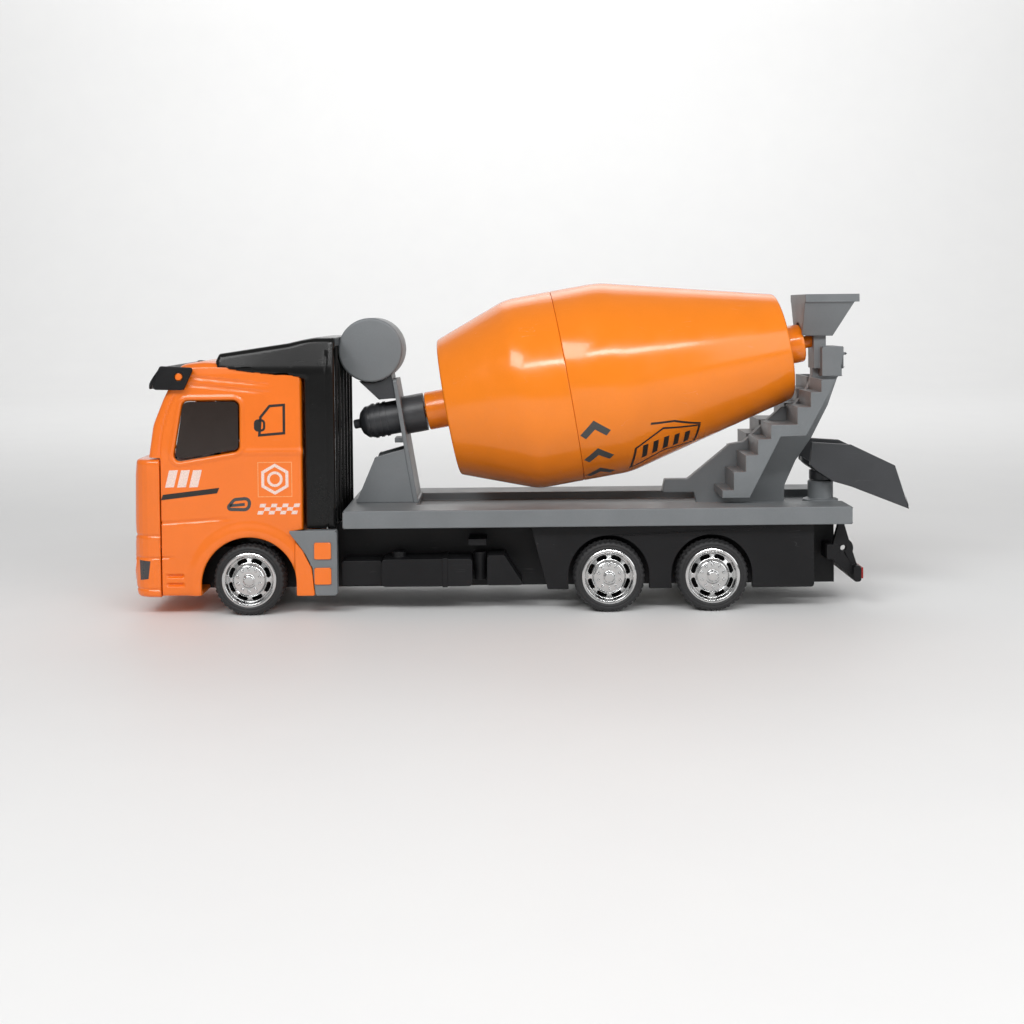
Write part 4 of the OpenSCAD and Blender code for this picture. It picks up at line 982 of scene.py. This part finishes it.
def make_drum_prints():
    chevrons = []
    for i in range(3):
        top = 10.4 * i
        chevrons += ribbon([(45.0, top + 3.6), (49.0, top), (53.0, top + 3.6)], 2.3)
    frame_shape = [(58.6, 24.0), (60.8, 12.6), (70.2, 8.0), (82.0, 13.4), (80.2, 24.6), (70.0, 20.4)]
    sign = ribbon(frame_shape, 0.75, True) + ribbon([(66.4, 4.4), (74.0, 6.6), (82.4, 12.6)], 0.8)
    for i in range(5):
        left = 62.6 + 3.5 * i
        low = 12.6 + (0.9 * (i - 2) if i > 2 else 0)
        sign += patch([(left + 0.6, low), (left + 2.3, low), (left + 1.5, low + 6.6),
                       (left - 0.2, low + 6.6)])
    # The same prints are on the far side, half a turn round
    for start, word in ((22.0, "near"), (202.0, "far")):
        lift = drum_lift(start)
        print_piece(f"drum_chevrons_{word}", chevrons, lift, "drum", grey_ink)
        print_piece(f"drum_sign_{word}", sign, lift, "drum", black_ink)


# ------------------------------------------------------------------ wheels

TYRE_R = 11.1
TYRE_W = 7.8
RIM_R = 8.4
WHEEL_FACE = 25.8
TREAD_BLOCKS = 40


def wheel_place(x, side):
    """Local +Z points outwards from the wheel's face. side is -1 on the left and 1 on the right."""
    return Matrix.Translation((x, side * WHEEL_FACE, axle_z)) @ Matrix.Rotation(-side * math.pi / 2, 4, "X")


def tyre_profile():
    """(along, radius, share of the tread cut that this point takes)"""
    outer, inner = 0.4, 0.4 - TYRE_W
    points = [(outer - 0.9, RIM_R, 0), (outer - 0.25, RIM_R + 0.1, 0), (outer - 0.05, RIM_R + 0.45, 0),
              (outer, RIM_R + 0.8, 0), (outer - 0.12, RIM_R + 1.0, 0), (outer, RIM_R + 1.2, 0),
              (outer - 0.05, TYRE_R - 1.1, 0), (outer - 0.3, TYRE_R - 0.6, 0.3),
              (outer - 0.75, TYRE_R - 0.2, 1), (outer - 1.3, TYRE_R, 1)]
    for groove in (-2.0, 0.0, 2.0):
        middle = outer - TYRE_W / 2 - groove
        points += [(middle + 0.45, TYRE_R, 1), (middle + 0.35, TYRE_R - 0.1, 1),
                   (middle + 0.25, TYRE_R - 0.65, 0), (middle - 0.25, TYRE_R - 0.65, 0),
                   (middle - 0.35, TYRE_R - 0.1, 1), (middle - 0.45, TYRE_R, 1)]
    points += [(inner + 1.3, TYRE_R, 1), (inner + 0.75, TYRE_R - 0.2, 1), (inner + 0.2, TYRE_R - 0.9, 0.3),
               (inner, TYRE_R - 1.4, 0), (inner, RIM_R + 0.6, 0), (inner + 0.4, RIM_R, 0)]
    return points


def make_tyre(name, body, x, side, node):
    place = wheel_place(x, side)
    profile = tyre_profile()
    steps = TREAD_BLOCKS * 8
    share = np.array([0, 0, 0, 0.15, 0.85, 1, 0.85, 0.15])
    angles = 2 * np.pi * np.arange(steps) / steps
    vertices, faces = [], []
    for row, (along, radius, weight) in enumerate(profile):
        stagger = 0 if along > 0.4 - TYRE_W / 2 else 4
        cut = 0.3 * weight * share[(np.arange(steps) + stagger) % 8]
        cut_radius = radius - cut
        ring = np.stack([cut_radius * np.cos(angles), cut_radius * np.sin(angles), np.full(steps, along)], 1)
        vertices += [place @ Vector(p) for p in ring]
        after = (row + 1) % len(profile)
        faces += [[row * steps + k, row * steps + (k + 1) % steps,
                   after * steps + (k + 1) % steps, after * steps + k] for k in range(steps)]
    piece = add_object(name, vertices, faces, body, [tyre_rubber], [node])
    face_outwards(piece)
    sharpen(piece, 40)


def rim_height(radius, angle):
    """Height of the rim's face over its own plane, and how deep a slot it is in."""
    points = [(0, 1.05), (1.3, 1.0), (1.7, 0.55), (2.0, 0.3), (2.5, 0.42), (4.4, 0.34), (4.8, 0.05),
              (5.2, -0.7), (6.9, -1.35), (7.15, -1.0), (7.35, -0.1), (7.6, 0.22), (8.1, 0.34), (RIM_R, 0.2)]
    height = np.interp(radius, [p[0] for p in points], [p[1] for p in points])
    turn = (angle * 8 / (2 * np.pi)) % 1 - 0.5
    across = turn * 2 * np.pi / 8 * radius
    slot_distance = np.hypot(np.maximum(np.abs(across) - 0.95, 0), (radius - 6.05)) - 0.55
    slot = np.clip(0.5 - slot_distance / 0.22, 0, 1)
    turn = (angle * 10 / (2 * np.pi)) % 1 - 0.5
    bolt_distance = np.hypot(turn * 2 * np.pi / 10 * radius, radius - 3.55)
    bolt = np.clip((0.48 - bolt_distance) / 0.14, 0, 1) * 0.42
    return height + bolt, slot


def make_rim(name, body, x, side, node):
    """Plated rim with eight slots, a ring of bolts and a centre cap, closed at the back. The slot floors are black
    matte: painted shade for the dark inside open slots.
    """
    place = wheel_place(x, side)
    steps = 240
    radii = np.concatenate([np.linspace(0.25, 2.6, 12), np.linspace(2.75, 4.6, 16),
                            np.linspace(4.75, 5.3, 5), np.linspace(5.38, 6.75, 16),
                            np.linspace(6.85, RIM_R, 16)])
    angles = 2 * np.pi * np.arange(steps) / steps
    grid_r, grid_a = np.meshgrid(radii, angles, indexing="ij")
    height, slot = rim_height(grid_r, grid_a)
    along = height - 3.0 * slot
    vertices = [place @ Vector((0, 0, 1.05))]
    for i in range(len(radii)):
        vertices += [place @ Vector((radii[i] * math.cos(a), radii[i] * math.sin(a), along[i, k]))
                     for k, a in enumerate(angles)]
    faces = [[0, 1 + k, 1 + (k + 1) % steps] for k in range(steps)]
    # Faces that take black matte: the slot floors, as painted shade, and the rim's closed back
    slot_shade_and_back = [False] * steps
    for i in range(len(radii) - 1):
        for k in range(steps):
            m = (k + 1) % steps
            here, outer = 1 + i * steps, 1 + (i + 1) * steps
            faces.append([here + k, outer + k, outer + m, here + m])
            slot_shade_and_back.append(min(slot[i, k], slot[i + 1, k], slot[i, m], slot[i + 1, m]) > 0.35)
    # Barrel and back face
    last = 1 + (len(radii) - 1) * steps
    for back_r, back_z in ((RIM_R, -6.9), (2.6, -6.9)):
        start = len(vertices)
        vertices += [place @ Vector((back_r * math.cos(a), back_r * math.sin(a), back_z)) for a in angles]
        faces += [[last + k, start + k, start + (k + 1) % steps, last + (k + 1) % steps]
                  for k in range(steps)]
        slot_shade_and_back += [back_r < RIM_R] * steps
        last = start
    faces.append([last + k for k in range(steps)])
    slot_shade_and_back.append(True)
    piece = add_object(name, vertices, faces, body, [rim_chrome, black_matte], [node])
    piece.data.polygons.foreach_set("material_index", [int(d) for d in slot_shade_and_back])
    face_outwards(piece)
    sharpen(piece, 50)


def make_wheels():
    for x, place in zip(axle_x, AXLES):
        for side, word in ((-1, "left"), (1, "right")):
            body = f"{place}_wheels"
            make_tyre(f"{place}_{word}_tyre", body, x, side, f"tyre_{place}_{word}")
            make_rim(f"{place}_{word}_rim", body, x, side, f"rim_{place}_{word}")


# ------------------------------------------------------------------ water tank and drum motor


def make_water_tank():
    """Cylinder across the truck, with flat ends and rounded rims."""
    half = tank_high.y
    place = Matrix.Translation(tank_centre) @ Matrix.Rotation(math.pi / 2, 4, "X")
    end = rounded([
        (half, 0, 0),
        (half, TANK_R, 0.85),
        (0, TANK_R, 0),
    ], 6)
    profile = end + [(-s, r) for s, r in reversed(end[:-1])]
    turned_piece("cross_tank", profile, place, 128, "chassis", "grey_plastic", "water_tank")


def make_motor_cap():
    """Domed end of the drum motor, with a shallow groove round its edge and a nub in the middle."""
    place = drum_place @ Matrix.Translation((0, 0, -21.0)) @ Matrix.Rotation(math.pi, 4, "X")
    profile = rounded([
        (0, 0, 0),
        (0, 5.2, 0.2),
        (0.5, 5.2, 0),
        (0.55, 5.05, 0),
        (0.75, 5.05, 0),
        (0.8, 5.2, 0),
        (1.6, 5.1, 1.2),
        (3.3, 3.4, 2),
        (3.9, 1.5, 0.3),
        (5.9, 1.5, 0.5),
        (5.9, 0, 0),
    ])
    turned_piece("motor_end_cap", profile, place, 96, "chassis", "dark_grey_plastic", "motor_cap")


# ------------------------------------------------------------------ CAD nodes that stay

BEVELS = {
    "deck": 0.35, "front_pedestal": 0.22, "rear_support": 0.25, "stairs_left": 0.2, "stairs_right": 0.2,
    "hopper": 0.25, "chute_trough": 0.22, "chute_base": 0.15, "tank_cradle": 0.2, "step_panel_left": 0.2,
    "step_panel_right": 0.2, "rear_bumper": 0.2, "mudguard_left": 0.2, "mudguard_right": 0.2,
    "fuel_tank": 0.2, "battery_box": 0.2, "air_tank": 0.15, "grille": 0.15, "step_pads": 0.15,
}


def dress_frame():
    """Gives every CAD node its material, and rounds the edges of those that stay in view."""
    slots = {part["node"]: part["material_slot"] for part in frame["record"]["subparts"]}
    for name, piece in frame["nodes"].items():
        piece.data.materials.clear()
        piece.data.materials.append(SLOT_MATERIALS[slots[name]])
        if name in BEVELS:
            soften(piece, BEVELS[name])


# ------------------------------------------------------------------ stage, light and camera


def make_stage():
    """A pale floor that curves up into a backdrop."""
    half_w, front, back, rise, height = 2.2, -1.6, 1.1, 0.5, 1.6
    profile = [(front, 0.0), (back, 0.0)]
    profile += [(back + rise * math.sin(a), rise - rise * math.cos(a))
                for a in (math.pi / 2 * k / 12 for k in range(1, 13))]
    profile.append((back + rise, height))
    vertices = [(x, y, z) for y, z in profile for x in (-half_w, half_w)]
    faces = [(2 * i, 2 * i + 1, 2 * i + 3, 2 * i + 2) for i in range(len(profile) - 1)]
    mesh = bpy.data.meshes.new("floor")
    mesh.from_pydata(vertices, [], faces)
    mesh.polygons.foreach_set("use_smooth", [True] * len(faces))
    floor = bpy.data.objects.new("floor", mesh)
    bpy.context.scene.collection.objects.link(floor)
    material, nodes, links, principled, place = shader("floor_paper", (0.8, 0.8, 0.8), 0.6)
    fibres = noise(nodes, links, place, 40)
    colours = tint(nodes, links, fibres, (0.79, 0.79, 0.79), (0.82, 0.82, 0.815))
    links.new(colours, principled.inputs["Base Color"])
    mesh.materials.append(material)


def area_light(name, place, target, width, height, power):
    data = bpy.data.lights.new(name, "AREA")
    data.shape = "RECTANGLE"
    data.size, data.size_y = width, height
    data.energy = power
    light = bpy.data.objects.new(name, data)
    light.location = place
    light.rotation_mode = "QUATERNION"
    light.rotation_quaternion = (Vector(target) - Vector(place)).to_track_quat("-Z", "Y")
    bpy.context.scene.collection.objects.link(light)


def make_lights():
    world = bpy.data.worlds.new("studio")
    world.use_nodes = True
    world.node_tree.nodes["Background"].inputs["Color"].default_value = (1, 1, 1, 1)
    world.node_tree.nodes["Background"].inputs["Strength"].default_value = 0.3
    bpy.context.scene.world = world
    middle = (0.0, 0.0, 0.05)
    area_light("key", (-0.45, -0.75, 0.75), middle, 0.5, 0.35, 4.7)
    area_light("strip", (0.12, -0.5, 0.42), (0.03, 0, 0.06), 0.5, 0.05, 1.4)
    area_light("fill", (0.7, -0.5, 0.35), middle, 0.5, 0.5, 1.4)
    area_light("back", (0.1, 0.7, 0.7), middle, 0.8, 0.4, 0.9)
    area_light("backdrop", (0.0, 0.4, 1.3), (0.0, 1.6, 1.1), 1.6, 0.4, 22)


CAMERA_PLACE = (-0.0038, -0.4588, 0.0935)
CAMERA_PITCH = 1.6
CAMERA_ROLL = 0.565
CAMERA_LENS = 49.45
CAMERA_SHIFT_Y = -0.1577


def make_camera():
    """Beside the truck, a little ahead of its middle and near its full height, turned slightly down."""
    data = bpy.data.cameras.new("camera")
    data.lens = CAMERA_LENS
    data.sensor_width = 36
    data.shift_y = CAMERA_SHIFT_Y
    data.clip_start, data.clip_end = 0.01, 20
    camera = bpy.data.objects.new("camera", data)
    camera.location = CAMERA_PLACE
    pitch = Matrix.Rotation(math.radians(90 - CAMERA_PITCH), 4, "X")
    roll = Matrix.Rotation(-math.radians(CAMERA_ROLL), 4, "Z")
    camera.rotation_euler = (pitch @ roll).to_euler()
    bpy.context.scene.collection.objects.link(camera)
    bpy.context.scene.camera = camera


bpy.context.scene.view_settings.view_transform = "Standard"
dress_frame()
make_cab()
make_fascia()
make_screen()
make_visor()
make_fairing()
make_cab_prints()
make_drum()
make_drum_prints()
make_wheels()
make_water_tank()
make_motor_cap()
make_stage()
make_lights()
make_camera()
